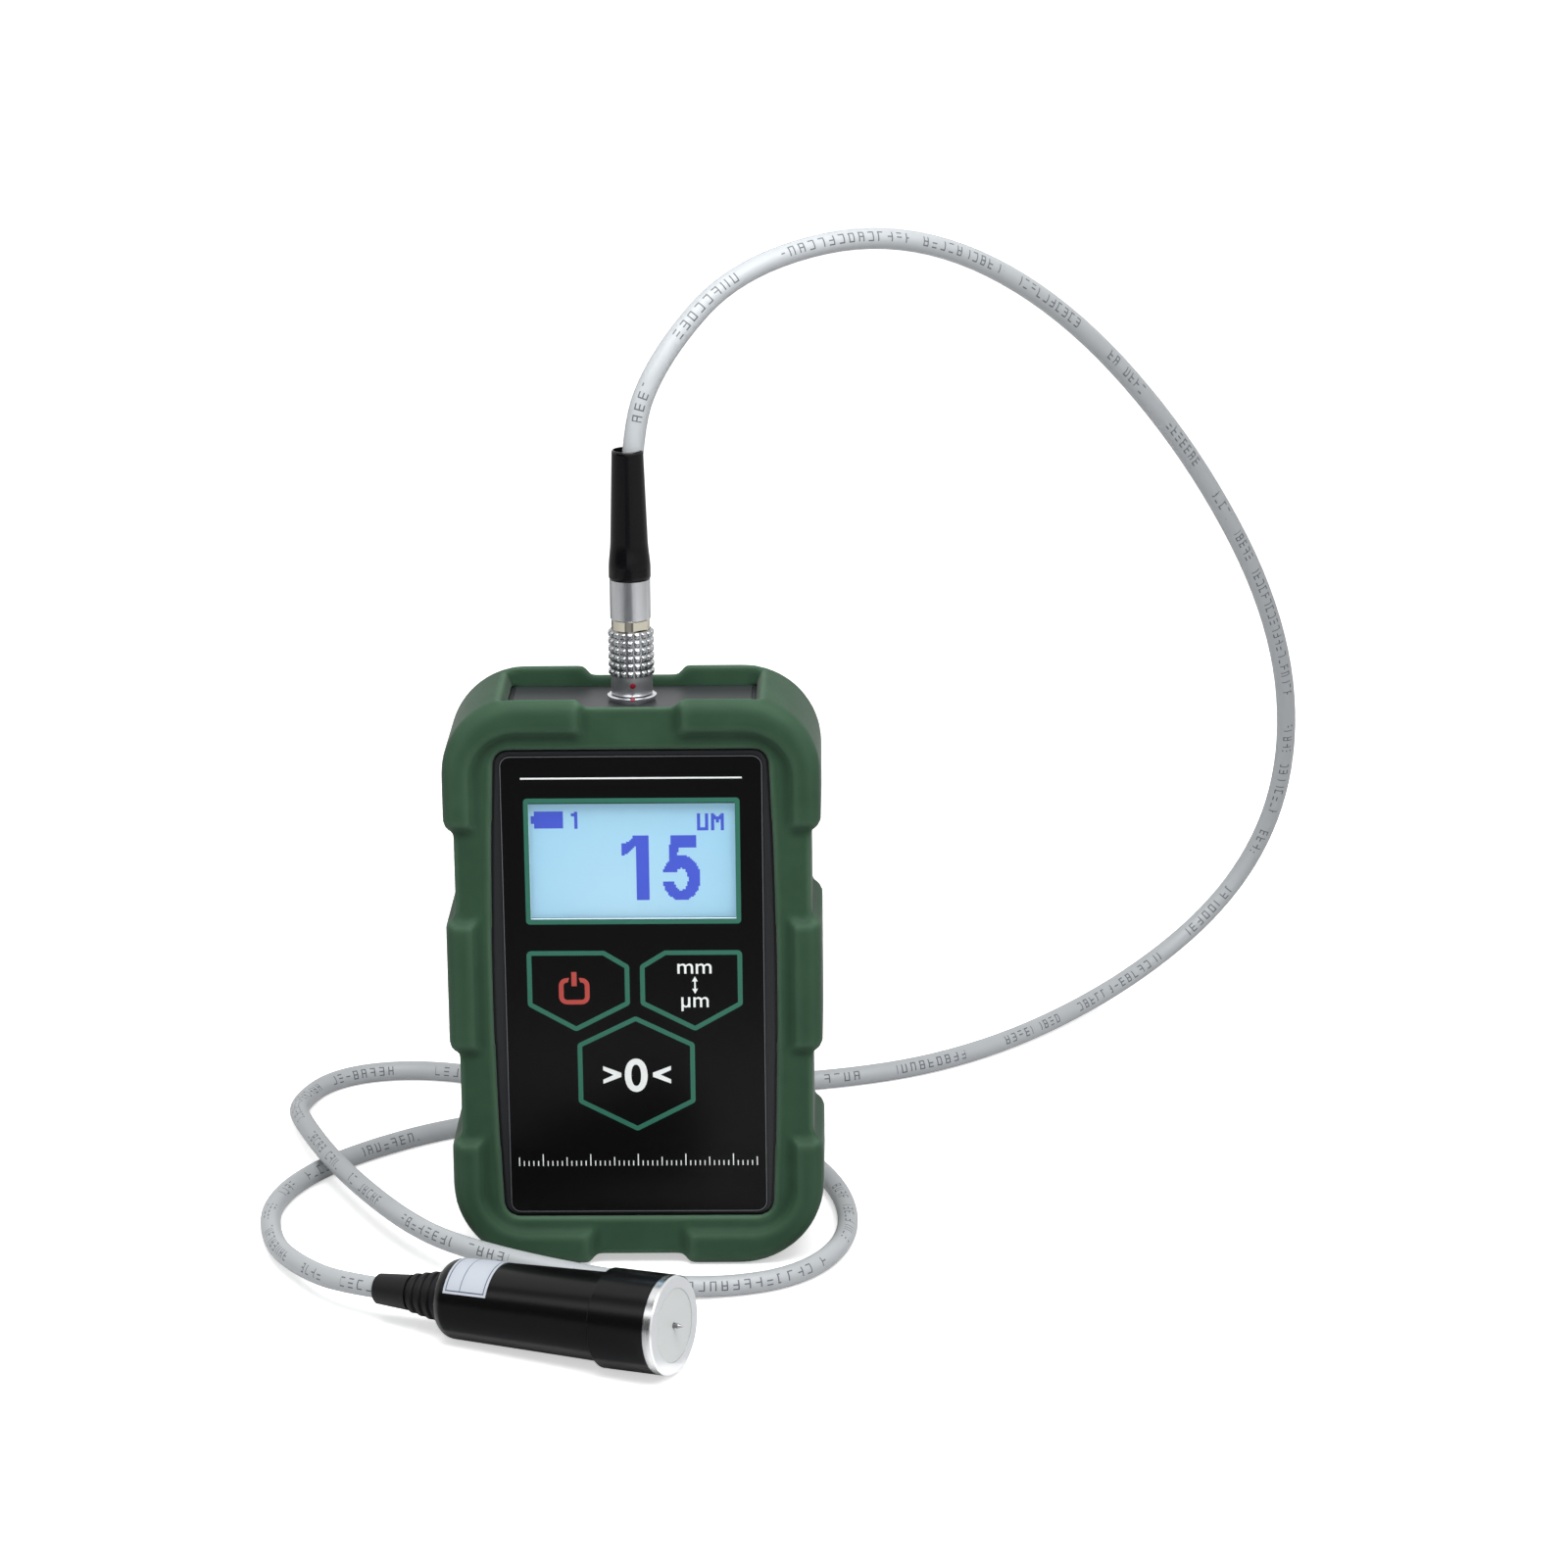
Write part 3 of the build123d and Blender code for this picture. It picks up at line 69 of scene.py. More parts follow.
def newMaterial(name, colour, roughness, **surface):
    # a Principled surface with its plain values; patterns are linked on afterwards
    material = bpy.data.materials.new(name)
    material.use_nodes = True
    material.node_tree.nodes.clear()
    inputs = {"Base Color": toLinear(colour), "Roughness": roughness}
    inputs.update({key.replace("_", " "): value for key, value in surface.items()})
    shader = addNode(material, "BsdfPrincipled", inputs=inputs)
    addNode(material, "OutputMaterial", inputs={"Surface": shader.outputs[0]})
    return material, shader


def raiseGrain(material, shader, size, strength, depth, detail=2.0):
    # uneven grain, its size and depth in mm
    place = addNode(material, "TexCoord").outputs["Object"]
    grain = addNode(material, "TexNoise", inputs={"Vector": place, "Scale": 1 / (size * mm), "Detail": detail})
    addNode(material, "Bump", inputs={"Height": grain.outputs["Fac"], "Strength": strength, "Distance": depth * mm},
            to=[(0, shader.inputs["Normal"])])
    return grain.outputs["Fac"]


def raiseTurning(material, shader, along, pitch, strength):
    # rings of a turning tool, about pitch mm apart along that line; real ones are finer and wouldn't show
    rings = addNode(material, "TexNoise", {"noise_dimensions": "1D"}, {
        "W": along, "Scale": 1 / (pitch * mm), "Detail": 2.0})
    addNode(material, "Bump", inputs={"Height": rings.outputs["Fac"], "Strength": strength, "Distance": 0.01 * mm},
            to=[(0, shader.inputs["Normal"])])
    return rings.outputs["Fac"]


def ringAt(shape, radii, height):
    # one point for each radius, round the connector's axis from the front to the right, in mm
    turns = [2 * math.pi * step / len(radii) for step in range(len(radii))]
    return [shape.verts.new((radius * math.sin(turn) * mm, -radius * math.cos(turn) * mm, height * mm))
            for radius, turn in zip(radii, turns)]


def plainRings(shape, outline, around):
    return [ringAt(shape, [radius] * around, height) for radius, height in outline]


def turnedMesh(name, shape, rings, sharpFrom):
    # rings joined one to the next and the last to the first; edges over the angle stay crisp
    for index, ring in enumerate(rings):
        after = rings[(index + 1) % len(rings)]
        for step in range(len(ring)):
            nextStep = (step + 1) % len(ring)
            shape.faces.new((ring[step], ring[nextStep], after[nextStep], after[step])).smooth = True
    bmesh.ops.recalc_face_normals(shape, faces=shape.faces)
    mesh = bpy.data.meshes.new(name)
    shape.to_mesh(mesh)
    shape.free()
    mesh.set_sharp_from_angle(angle=math.radians(sharpFrom))
    return mesh


def smoothStep(share):
    share = min(max(share, 0), 1)
    return share * share * (3 - 2 * share)


def dress(names, material):
    for name in names:
        node = nodes[name]
        node.data.materials.clear()
        node.data.materials.append(material)
        for slot in node.material_slots:
            slot.link = "OBJECT"
            slot.material = material


def addPiece(name, mesh, material, body="unit"):
    piece = bpy.data.objects.new(name, mesh)
    bpy.context.scene.collection.objects.link(piece)
    mesh.materials.clear()
    mesh.materials.append(material)
    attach(piece, body)
    return piece


# camera at the photograph's place and lens, no shift: place, film width and lens in mm, angles in degrees
cameraView = {"place": (48.594, -974.967, 384.113), "down": 16.163, "turn": -1.0189, "roll": -0.6268,
              "lens": 112.023, "filmWidth": 36, "nearest": 10}

down, turn, roll = (math.radians(cameraView[key]) for key in ("down", "turn", "roll"))
ahead = Vector((math.sin(turn) * math.cos(down), math.cos(turn) * math.cos(down), -math.sin(down)))
level = Vector((math.cos(turn), -math.sin(turn), 0))
upright = level.cross(ahead)
right = math.cos(roll) * level + math.sin(roll) * upright
up = math.cos(roll) * upright - math.sin(roll) * level
cameraData = bpy.data.cameras.new("camera")
cameraData.sensor_width = cameraView["filmWidth"]
cameraData.lens = cameraView["lens"]
cameraData.clip_start = cameraView["nearest"] * mm
camera = bpy.data.objects.new("camera", cameraData)
bpy.context.scene.collection.objects.link(camera)
camera.matrix_world = Matrix.Translation(Vector(cameraView["place"]) * mm) @ Matrix(
    (right, up, -ahead)).transposed().to_4x4()
bpy.context.scene.camera = camera
print("camera set")


# studio: pale floor, white surroundings, soft boxes; lengths in metres, power in watts
studio = {"ambient": 0.33, "floorColour": "#f6f6f6", "bounceColour": "#dcdcdd", "floorLift": 0.82, "nearLift": 0.5,
          "liftNear": 0.03, "liftFar": 0.3, "floorReach": 6.0}

world = bpy.data.worlds.new("studioWhite")
bpy.context.scene.world = world
world.use_nodes = True
world.node_tree.nodes.clear()
rays = addNode(world, "LightPath")
seen = addNode(world, "Math", {"operation": "MAXIMUM"}, {
    0: rays.outputs["Is Camera Ray"], 1: rays.outputs["Is Transmission Ray"]})
seenOrMirrored = addNode(world, "Math", {"operation": "MAXIMUM"}, {
    0: seen.outputs[0], 1: rays.outputs["Is Glossy Ray"]})
brightness = addNode(world, "MapRange", inputs={
    "Value": seenOrMirrored.outputs[0], "To Min": studio["ambient"], "To Max": 1.0})
sky = addNode(world, "Background", inputs={"Color": (1, 1, 1, 1), "Strength": brightness.outputs[0]})
addNode(world, "OutputWorld", inputs={"Surface": sky.outputs[0]})

# painted board, lifted for the camera so that it runs out to white
floorMaterial = bpy.data.materials.new("matteWhiteBoard")
floorMaterial.use_nodes = True
floorMaterial.node_tree.nodes.clear()
rays = addNode(floorMaterial, "LightPath")
tone = addNode(floorMaterial, "Mix", {"data_type": "RGBA"}, {
    0: rays.outputs["Is Diffuse Ray"], 6: toLinear(studio["floorColour"]), 7: toLinear(studio["bounceColour"])})
board = addNode(floorMaterial, "BsdfDiffuse", inputs={"Color": tone.outputs[2]})
place = addNode(floorMaterial, "TexCoord").outputs["Object"]
away = addNode(floorMaterial, "VectorMath", {"operation": "LENGTH"}, {0: place})
rise = addNode(floorMaterial, "MapRange", inputs={
    "Value": away.outputs["Value"], "From Min": studio["liftNear"], "From Max": studio["liftFar"],
    "To Min": studio["nearLift"], "To Max": studio["floorLift"]})
lift = addNode(floorMaterial, "Math", {"operation": "MULTIPLY"}, {
    0: rays.outputs["Is Camera Ray"], 1: rise.outputs[0]})
glow = addNode(floorMaterial, "Emission", inputs={"Color": (1, 1, 1, 1), "Strength": lift.outputs[0]})
both = addNode(floorMaterial, "AddShader", inputs={0: board.outputs[0], 1: glow.outputs[0]})
addNode(floorMaterial, "OutputMaterial", inputs={"Surface": both.outputs[0]})
floorMesh = bpy.data.meshes.new("floor")
reach = studio["floorReach"]
floorMesh.from_pydata(
    [(-reach, -reach, 0), (reach, -reach, 0), (reach, reach, 0), (-reach, reach, 0)], [], [(0, 1, 2, 3)])
floorMesh.materials.append(floorMaterial)
floor = bpy.data.objects.new("floor", floorMesh)
bpy.context.scene.collection.objects.link(floor)

softBoxes = {
    "keyBox": {"place": (0.85, -0.75, 1.1), "size": (0.9, 0.9), "power": 4.4, "aim": (0.02, 0, 0.08)},
    "fillBox": {"place": (-1.0, -0.7, 0.8), "size": (0.7, 0.8), "power": 1.4, "aim": (0.03, 0, 0.08)},
    "topBox": {"place": (0.03, -0.22, 0.52), "size": (0.5, 0.34), "power": 3.7, "aim": (0.02, -0.02, 0.05)},
}
for name, box in softBoxes.items():
    lampData = bpy.data.lights.new(name, "AREA")
    lampData.shape = "RECTANGLE"
    lampData.size, lampData.size_y = box["size"]
    lampData.energy = box["power"]
    lamp = bpy.data.objects.new(name, lampData)
    lamp.location = box["place"]
    lamp.rotation_euler = (Vector(box["aim"]) - Vector(box["place"])).to_track_quat("-Z", "Y").to_euler()
    bpy.context.scene.collection.objects.link(lamp)
bpy.context.scene.view_settings.view_transform = "Standard"

# cloths and cards round the object, met only by mirrored rays: the black ones leave dark streaks in the metals,
# the grey ones calm the shine of film and barrel, the pale one tones the foot; corners in metres, heights in mm
mirroredCards = {
    "clothInFront": {"colour": "#7c7d7f", "corners": [(-0.3, -1.3, 0.5), (0.12, -1.3, 0.5), (0.12, -0.16, 0.5),
                                                      (-0.3, -0.16, 0.5)]},
    "clothRightOfFoot": {"colour": "#cbccce", "corners": [(0.014, -0.07, 0.7), (0.1, -0.14, 0.7), (0.26, 0.02, 0.7),
                                                          (0.06, 0.02, 0.7)]},
    "clothByProbe": {"colour": "#8e8f92", "corners": [(0.003, -0.08, 0.7), (-0.04, -0.058, 0.7), (-0.3, -0.12, 0.7),
                                                      (-0.22, -0.3, 0.7)]},
    "cardHighOnLeft": {"colour": "#121214", "corners": [(-1.35, -0.15, 980), (-0.3, -1.35, 980), (-0.1, -0.9, 2200),
                                                        (-0.9, -0.1, 2200)]},
    "cardOnLeft": {"colour": "#121214", "corners": [(-1.35, -0.15, 20), (-0.3, -1.35, 20), (-0.3, -1.35, 620),
                                                    (-1.35, -0.15, 620)]},
}
# strips of ring on the floor, one for each piece that mirrors it: radii in metres, angles from the front to the right
mirroredStrips = {
    "stripForNeck": {"colour": "#0c0c0d", "radii": (0.452, 0.492), "angles": (-58, 36)},
    "stripForNeckSide": {"colour": "#0c0c0d", "radii": (0.452, 0.492), "angles": (-146, -92)},
    "stripForNut": {"colour": "#9c9da0", "radii": (0.495, 0.59), "angles": (-24, 4)},
    "stripForNutSide": {"colour": "#66676a", "radii": (0.495, 0.59), "angles": (-175, -132)},
    "stripForRelief": {"colour": "#0c0c0d", "radii": (0.6, 0.72), "angles": (-88, 108)},
}
stripSteps = 16
for name, strip in mirroredStrips.items():
    (nearRadius, farRadius), (firstAngle, lastAngle) = strip["radii"], strip["angles"]
    turns = [math.radians(firstAngle + (lastAngle - firstAngle) * step / stripSteps) for step in range(stripSteps + 1)]
    mirroredCards[name] = {"colour": strip["colour"], "corners": [
        (radius * math.sin(turn), -radius * math.cos(turn), 1)
        for radius, row in ((farRadius, turns), (nearRadius, turns[::-1])) for turn in row]}
for name, card in mirroredCards.items():
    cardMaterial, _ = newMaterial(name + "Velvet", card["colour"], 1.0, Specular_IOR_Level=0.0)
    cardMesh = bpy.data.meshes.new(name)
    cardMesh.from_pydata([(x, y, z * mm) for x, y, z in card["corners"]], [], [tuple(range(len(card["corners"])))])
    cardMesh.materials.append(cardMaterial)
    cardObject = bpy.data.objects.new(name, cardMesh)
    bpy.context.scene.collection.objects.link(cardObject)
    for kind in ("camera", "diffuse", "shadow", "transmission"):
        setattr(cardObject, "visible_" + kind, False)
print("studio set")


# moulded silicone rubber: dull and finely grained, paler on outer edges where a highlight is painted, darker in the
# creases where shade is painted;
# the mould's real grain is finer than 0.35 mm and wouldn't show
rubberLook = {"dark": "#243c2b", "light": "#304b38", "cloud": 9, "paintedHighlightTone": "#6d8a74", "paintedHighlightShare": 0.2, "edges": (0.504, 0.54),
              "shaded": "#16291d", "shade": 0.85, "creases": (0.497, 0.465), "grain": 0.35}


def makeHolsterRubber():
    material, shader = newMaterial("mouldedSiliconeRubber", "#3d5a47", 0.62, IOR=1.43, Specular_IOR_Level=0.16,
                                   Sheen_Weight=0.1, Sheen_Roughness=0.3)
    place = addNode(material, "TexCoord").outputs["Object"]
    cloud = addNode(material, "TexNoise", inputs={
        "Vector": place, "Scale": 1 / (rubberLook["cloud"] * mm), "Detail": 4})
    colour = addNode(material, "Mix", {"data_type": "RGBA"}, {
        0: cloud.outputs["Fac"], 6: toLinear(rubberLook["dark"]), 7: toLinear(rubberLook["light"])}).outputs[2]
    # pointiness is over one half on outer edges, which get a painted highlight, and under it in creases, which get
    # painted shade
    bend = addNode(material, "NewGeometry").outputs["Pointiness"]
    for (first, last), most, tone in ((rubberLook["edges"], rubberLook["paintedHighlightShare"], rubberLook["paintedHighlightTone"]),
                                      (rubberLook["creases"], rubberLook["shade"], rubberLook["shaded"])):
        share = addNode(material, "MapRange", inputs={
            "Value": bend, "From Min": first, "From Max": last, "To Max": most})
        colour = addNode(material, "Mix", {"data_type": "RGBA"}, {
            0: share.outputs[0], 6: colour, 7: toLinear(tone)}, to=[(2, shader.inputs["Base Color"])]).outputs[2]
    grain = raiseGrain(material, shader, rubberLook["grain"], 0.35, 0.03, 3)
    addNode(material, "MapRange", inputs={"Value": grain, "To Min": 0.5, "To Max": 0.72},
            to=[(0, shader.inputs["Roughness"])])
    return material


# moulded ABS: fine spark-eroded grain that breaks up the shine
caseLook = {"colour": "#1b1c1f", "roughness": 0.42, "grain": 0.25}


def makeCaseAbs():
    material, shader = newMaterial("mouldedBlackAbs", caseLook["colour"], caseLook["roughness"], IOR=1.53,
                                   Specular_IOR_Level=0.3)
    raiseGrain(material, shader, caseLook["grain"], 0.3, 0.02)
    return material


# polycarbonate film, printed on its back: a level gloss with a faint ripple
filmLook = {"colour": "#0b0b0c", "roughness": 0.24, "ripple": 6}


def makeKeypadFilm():
    material, shader = newMaterial("polycarbonateFilm", filmLook["colour"], filmLook["roughness"], IOR=1.58,
                                   Specular_IOR_Level=0.08)
    raiseGrain(material, shader, filmLook["ripple"], 0.05, 0.05)
    return material


# cast acrylic, clear: only its shine shows, and that is weaker than a bare sheet's
windowLook = {"roughness": 0.05, "ior": 1.35}


def makeClearAcrylic():
    material = bpy.data.materials.new("clearAcrylic")
    material.use_nodes = True
    material.node_tree.nodes.clear()
    clear = addNode(material, "BsdfTransparent")
    shine = addNode(material, "BsdfGlossy", inputs={"Roughness": windowLook["roughness"]})
    edge = addNode(material, "Fresnel", inputs={"IOR": windowLook["ior"]})
    # only the face that a ray enters by shines; on the way out the sheet would mirror fully at a slant
    inside = addNode(material, "NewGeometry").outputs["Backfacing"]
    entering = addNode(material, "Math", {"operation": "SUBTRACT"}, {0: 1.0, 1: inside})
    share = addNode(material, "Math", {"operation": "MULTIPLY"}, {0: edge.outputs[0], 1: entering.outputs[0]})
    mixed = addNode(material, "MixShader", inputs={0: share.outputs[0], 1: clear.outputs[0], 2: shine.outputs[0]})
    addNode(material, "OutputMaterial", inputs={"Surface": mixed.outputs[0]})
    return material


# liquid crystal cell over its lamp: pale blue, brightest low in the middle
displayLook = {"bright": "#8cb1c4", "dim": "#80aac0", "glow": 0.55, "left": 2, "below": 9, "fade": (3, 26)}


def makeDisplayGlass():
    low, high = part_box("display_glass")
    centre = [(a + b) / 2 for a, b in zip(low, high)]
    material, shader = newMaterial("litDisplayCell", displayLook["dim"], 0.3, IOR=1.52)
    place = addNode(material, "TexCoord").outputs["Object"]
    moved = addNode(material, "VectorMath", {"operation": "SUBTRACT"}, {
        0: place, 1: (centre[0] - displayLook["left"] * mm, centre[1], centre[2] - displayLook["below"] * mm)})
    spread = addNode(material, "VectorMath", {"operation": "LENGTH"}, {0: moved.outputs[0]})
    fade = addNode(material, "MapRange", inputs={
        "Value": spread.outputs["Value"], "From Min": displayLook["fade"][0] * mm,
        "From Max": displayLook["fade"][1] * mm})
    addNode(material, "Mix", {"data_type": "RGBA"}, {
        0: fade.outputs[0], 6: toLinear(displayLook["bright"]), 7: toLinear(displayLook["dim"])},
        to=[(2, shader.inputs["Base Color"]), (2, shader.inputs["Emission Color"])])
    shader.inputs["Emission Strength"].default_value = displayLook["glow"]
    return material


# one colour with a fine grain of that size in mm
def makePlain(name, colour, roughness, grain=0.3, **surface):
    material, shader = newMaterial(name, colour, roughness, **surface)
    raiseGrain(material, shader, grain, 0.2, 0.02)
    return material


# plate over turned brass: soft bands of light along faint rings
def makeTurnedMetal(name, colour, roughness, ringPitch, strength, spread=0.1):
    material, shader = newMaterial(name, colour, roughness, Metallic=1.0)
    place = addNode(material, "TexCoord").outputs["Object"]
    height = addNode(material, "SeparateXYZ", inputs={0: place}).outputs["Z"]
    rings = raiseTurning(material, shader, height, ringPitch, strength)
    addNode(material, "MapRange", inputs={
        "Value": rings, "To Min": roughness * (1 - spread), "To Max": roughness * (1 + spread)},
        to=[(0, shader.inputs["Roughness"])])
    return material


# each surface is named for its real material, and the note says what the eye gets from it
holsterRubber = makeHolsterRubber()
caseAbs = makeCaseAbs()
keypadFilm = makeKeypadFilm()
clearAcrylic = makeClearAcrylic()
displayCell = makeDisplayGlass()
panelGrey = makePlain("paintedPanelGrey", "#2c2e30", 0.36, Specular_IOR_Level=0.2)  # baked paint: dull dark grey
satinNickel = makeTurnedMetal("satinNickelPlate", "#d8dadd", 0.22, 0.12, 0.012)  # turned, plated: soft pale bands
brightNickel = makeTurnedMetal("polishedNickelPlate", "#d6d1c0", 0.06, 0.5, 0.02)  # polished: sharp bands, warm
goldPlate = makePlain("goldPlatedBrass", "#c9a55a", 0.3, Metallic=1.0)  # thin plate on contacts: warm and bright
insulatorPeek = makePlain("insulatorPlastic", "#b9a98a", 0.45)  # moulded: cream, hardly any shine
reliefBlack = makePlain("glossyPolyurethane", "#09090b", 0.17, 1.0, IOR=1.5, Specular_IOR_Level=0.25)  # polished mould
bootRubber = makePlain("mouldedBootRubber", "#111113", 0.5, 0.4, Specular_IOR_Level=0.2)  # moulded: dull black
# turned, then anodised: deep black with one long streak
probeBlack = makePlain("blackAnodisedAluminium", "#060607", 0.25, 0.2, IOR=1.6, Specular_IOR_Level=0.2)
facePlastic = makePlain("mouldedWhitePlastic", "#c6cac9", 0.4, 0.5)  # faced flat: even and pale
labelPaper = makePlain("labelPaper", "#aeb4bd", 0.55, 0.2)  # uncoated: no shine
needleSteel = makePlain("hardenedSteel", "#8b8b8c", 0.25, 0.1, Metallic=1.0)  # ground: one thin bright line
screwSteel = makePlain("blackenedScrewSteel", "#55565a", 0.35, 0.2, Metallic=1.0)  # oiled black: dim shine
springSteel = makePlain("springSteel", "#b0b0ae", 0.3, 0.2, Metallic=1.0)  # drawn wire: smooth and bright
boardGreen = makePlain("glassEpoxyBoard", "#1d5a35", 0.35)  # green lacquer over woven glass
chipEpoxy = makePlain("mouldedEpoxy", "#1a1a1c", 0.5)  # moulded: dull black
diffuserWhite = makePlain("diffuserPolycarbonate", "#eceff0", 0.4)  # frosted: white, evenly lit
cellJacket = makePlain("printedCellJacket", "#2f5f93", 0.35)  # shrunk film, printed blue
leadSheath = makePlain("leadSheath", "#a3342c", 0.45)  # extruded PVC: satin red
copperWinding = makePlain("enamelledCopper", "#a65e33", 0.35, 0.2, Metallic=1.0)  # clear enamel: reddish shine

dress(["front_shell", "rear_shell", "battery_cover"], caseAbs)
dress(["key_actuator_power", "key_actuator_units", "key_actuator_zero"], caseAbs)
dress(["keypad_film"], keypadFilm)
dress(["display_window"], clearAcrylic)
dress(["display_glass"], displayCell)
dress(["display_backlight"], diffuserWhite)
dress(["display_frame", "processor_chip", "buzzer"], chipEpoxy)
dress(["tact_switch_power", "tact_switch_units", "tact_switch_zero"], chipEpoxy)
dress(["main_board"], boardGreen)
dress(["case_screws", "board_screws"], screwSteel)
dress(["battery_contacts", "battery_springs", "needle_spring"], springSteel)
dress(["battery_cell_1", "battery_cell_2"], cellJacket)
dress(["top_end_panel"], panelGrey)
dress(["socket_shell", "socket_nut", "collet_nut"], satinNickel)
dress(["plug_shell"], brightNickel)
dress(["socket_contacts", "plug_pins", "collet", "needle_guide"], goldPlate)
dress(["socket_insert", "plug_insert"], insulatorPeek)
dress(["socket_leads"], leadSheath)
dress(["probe_boot"], bootRubber)
dress(["probe_barrel", "probe_sleeve"], probeBlack)
dress(["probe_face_disc"], facePlastic)
dress(["needle"], needleSteel)
dress(["sensor_coil"], copperWinding)
dress(["probe_label"], labelPaper)


# rubber holster with the soft edges of its mould: even small cells in mm over the node's shape, then smoothed
holster = {"cell": 0.6, "rounds": 7, "blend": 0.5}


def makeSoftHolster():
    rough = bpy.data.objects.new("roughHolster", nodes["rubber_holster"].data.copy())
    bpy.context.scene.collection.objects.link(rough)
    even = rough.modifiers.new("evenCells", "REMESH")
    even.mode = "VOXEL"
    even.voxel_size = holster["cell"] * mm
    rounded = rough.modifiers.new("roundedEdges", "SMOOTH")
    rounded.factor = holster["blend"]
    rounded.iterations = holster["rounds"]
    mesh = bpy.data.meshes.new_from_object(rough.evaluated_get(bpy.context.evaluated_depsgraph_get()))
    bpy.data.objects.remove(rough)
    mesh.shade_smooth()
    return mesh


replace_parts(addPiece("rubberHolster", makeSoftHolster(), holsterRubber), "rubber_holster")
print("holster set")


# bend relief: moulded cone that swells gently into its collar, mm above its lower end
relief = {"collar": 4.34, "foot": 4.135, "top": 3.25, "swell": 0.3, "swellFrom": 2, "swellTo": 8, "round": 0.5,
          "lip": 0.3, "lipIn": 0.2, "mouth": 2.9, "bore": 2.4, "flare": 8, "around": 96, "roundSteps": 6,
          "coneSteps": 60, "sharpFrom": 50}


def makeBendRelief():
    low, high = (corner[2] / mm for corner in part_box("bend_relief"))
    length = high - low
    outline = []  # radius and height
    for step in range(relief["roundSteps"] + 1):
        turn = math.pi / 2 * step / relief["roundSteps"]
        outline.append((relief["collar"] - relief["round"] * (1 - math.sin(turn)),
                        relief["round"] * (1 - math.cos(turn))))
    for step in range(1, relief["coneSteps"] + 1):
        height = relief["round"] + (length - relief["lip"] - relief["round"]) * step / relief["coneSteps"]
        passed = smoothStep((height - relief["swellFrom"]) / (relief["swellTo"] - relief["swellFrom"]))
        cone = relief["foot"] + (relief["top"] - relief["foot"]) * height / length
        outline.append((min(relief["collar"], cone + relief["swell"] * (1 - passed)), height))
    outline += [(relief["top"] - relief["lipIn"], length), (relief["mouth"], length),
                (relief["bore"], length - relief["flare"]), (relief["bore"], 0)]
    shape = bmesh.new()
    rings = plainRings(shape, [(radius, low + height) for radius, height in outline], relief["around"])
    return turnedMesh("bendRelief", shape, rings, relief["sharpFrom"])


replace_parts(addPiece("bendRelief", makeBendRelief(), reliefBlack), "bend_relief")


# knurled sleeve: turned body whose grip is rows of rounded studs with grooves between them, in mm
sleeve = {"bottom": 121.45, "gripBottom": 125.35, "top": 135.15, "nose": 4.3, "grip": 4.75, "groove": 4.31,
          "bore": 3.65, "rearBore": 4.05, "rearStep": 132.85, "noseRound": 0.2, "rows": 6, "studs": 18,
          "stepsPerStud": 14, "shareOfGroove": 0.12, "slope": 0.14, "crown": 0.09, "sharpFrom": 60,
          "chrome": "#b9bbbe", "noseRoughness": 0.42, "gripRoughness": 0.2, "change": 0.3, "ringPitch": 0.3}


def studHeight(along, around):
    # 0 in a groove and 1 on top of a stud, for a place inside its cell
    height = 1.0
    for place in (along, around):
        fromEdge = min(place, 1 - place)
        rise = smoothStep((fromEdge - sleeve["shareOfGroove"]) / sleeve["slope"])
        height *= rise * (1 - sleeve["crown"] * ((place - 0.5) / 0.4) ** 2)
    return height


def makeKnurledSleeve():
    shape = bmesh.new()
    steps = sleeve["stepsPerStud"]
    around, rows = sleeve["studs"] * steps, sleeve["rows"] * steps
    gripTall, studTall = sleeve["top"] - sleeve["gripBottom"], sleeve["grip"] - sleeve["groove"]
    nose = [(sleeve["bore"], sleeve["bottom"]), (sleeve["nose"] - sleeve["noseRound"], sleeve["bottom"]),
            (sleeve["nose"], sleeve["bottom"] + sleeve["noseRound"]), (sleeve["nose"], sleeve["gripBottom"])]
    inside = [(sleeve["rearBore"], sleeve["top"]), (sleeve["rearBore"], sleeve["rearStep"]),
              (sleeve["bore"], sleeve["rearStep"])]
    rings = plainRings(shape, nose, around)
    for row in range(rows + 1):
        studs = [studHeight(row / steps % 1, (step + steps / 2) / steps % 1) for step in range(around)]
        rings.append(ringAt(shape, [sleeve["groove"] + studTall * stud for stud in studs],
                            sleeve["gripBottom"] + gripTall * row / rows))
    rings += plainRings(shape, inside, around)
    return turnedMesh("knurledSleeve", shape, rings, sleeve["sharpFrom"])


# satin chrome plate over turned brass: small glints on the grip, a duller plain nose
def makeChromePlate():
    material, shader = newMaterial("satinChromePlate", sleeve["chrome"], sleeve["gripRoughness"], Metallic=1.0)
    place = addNode(material, "TexCoord").outputs["Object"]
    height = addNode(material, "SeparateXYZ", inputs={0: place}).outputs["Z"]
    raiseTurning(material, shader, height, sleeve["ringPitch"], 0.02)
    addNode(material, "MapRange", inputs={
        "Value": height, "From Min": sleeve["gripBottom"] * mm,
        "From Max": (sleeve["gripBottom"] + sleeve["change"]) * mm,
        "To Min": sleeve["noseRoughness"], "To Max": sleeve["gripRoughness"]}, to=[(0, shader.inputs["Roughness"])])
    return material


knurledSleeve = addPiece("knurledSleeve", makeKnurledSleeve(), makeChromePlate(), "release_sleeve_body")
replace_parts(knurledSleeve, "release_sleeve")
print("surfaces set")


# the probe's own axis, out of its metal foot: mm and degrees
probe = {"face": (9.6, -73.7, 10.8906), "heading": -25.5, "tilt": 3.1312, "cableEnds": (76.15, 56.15)}

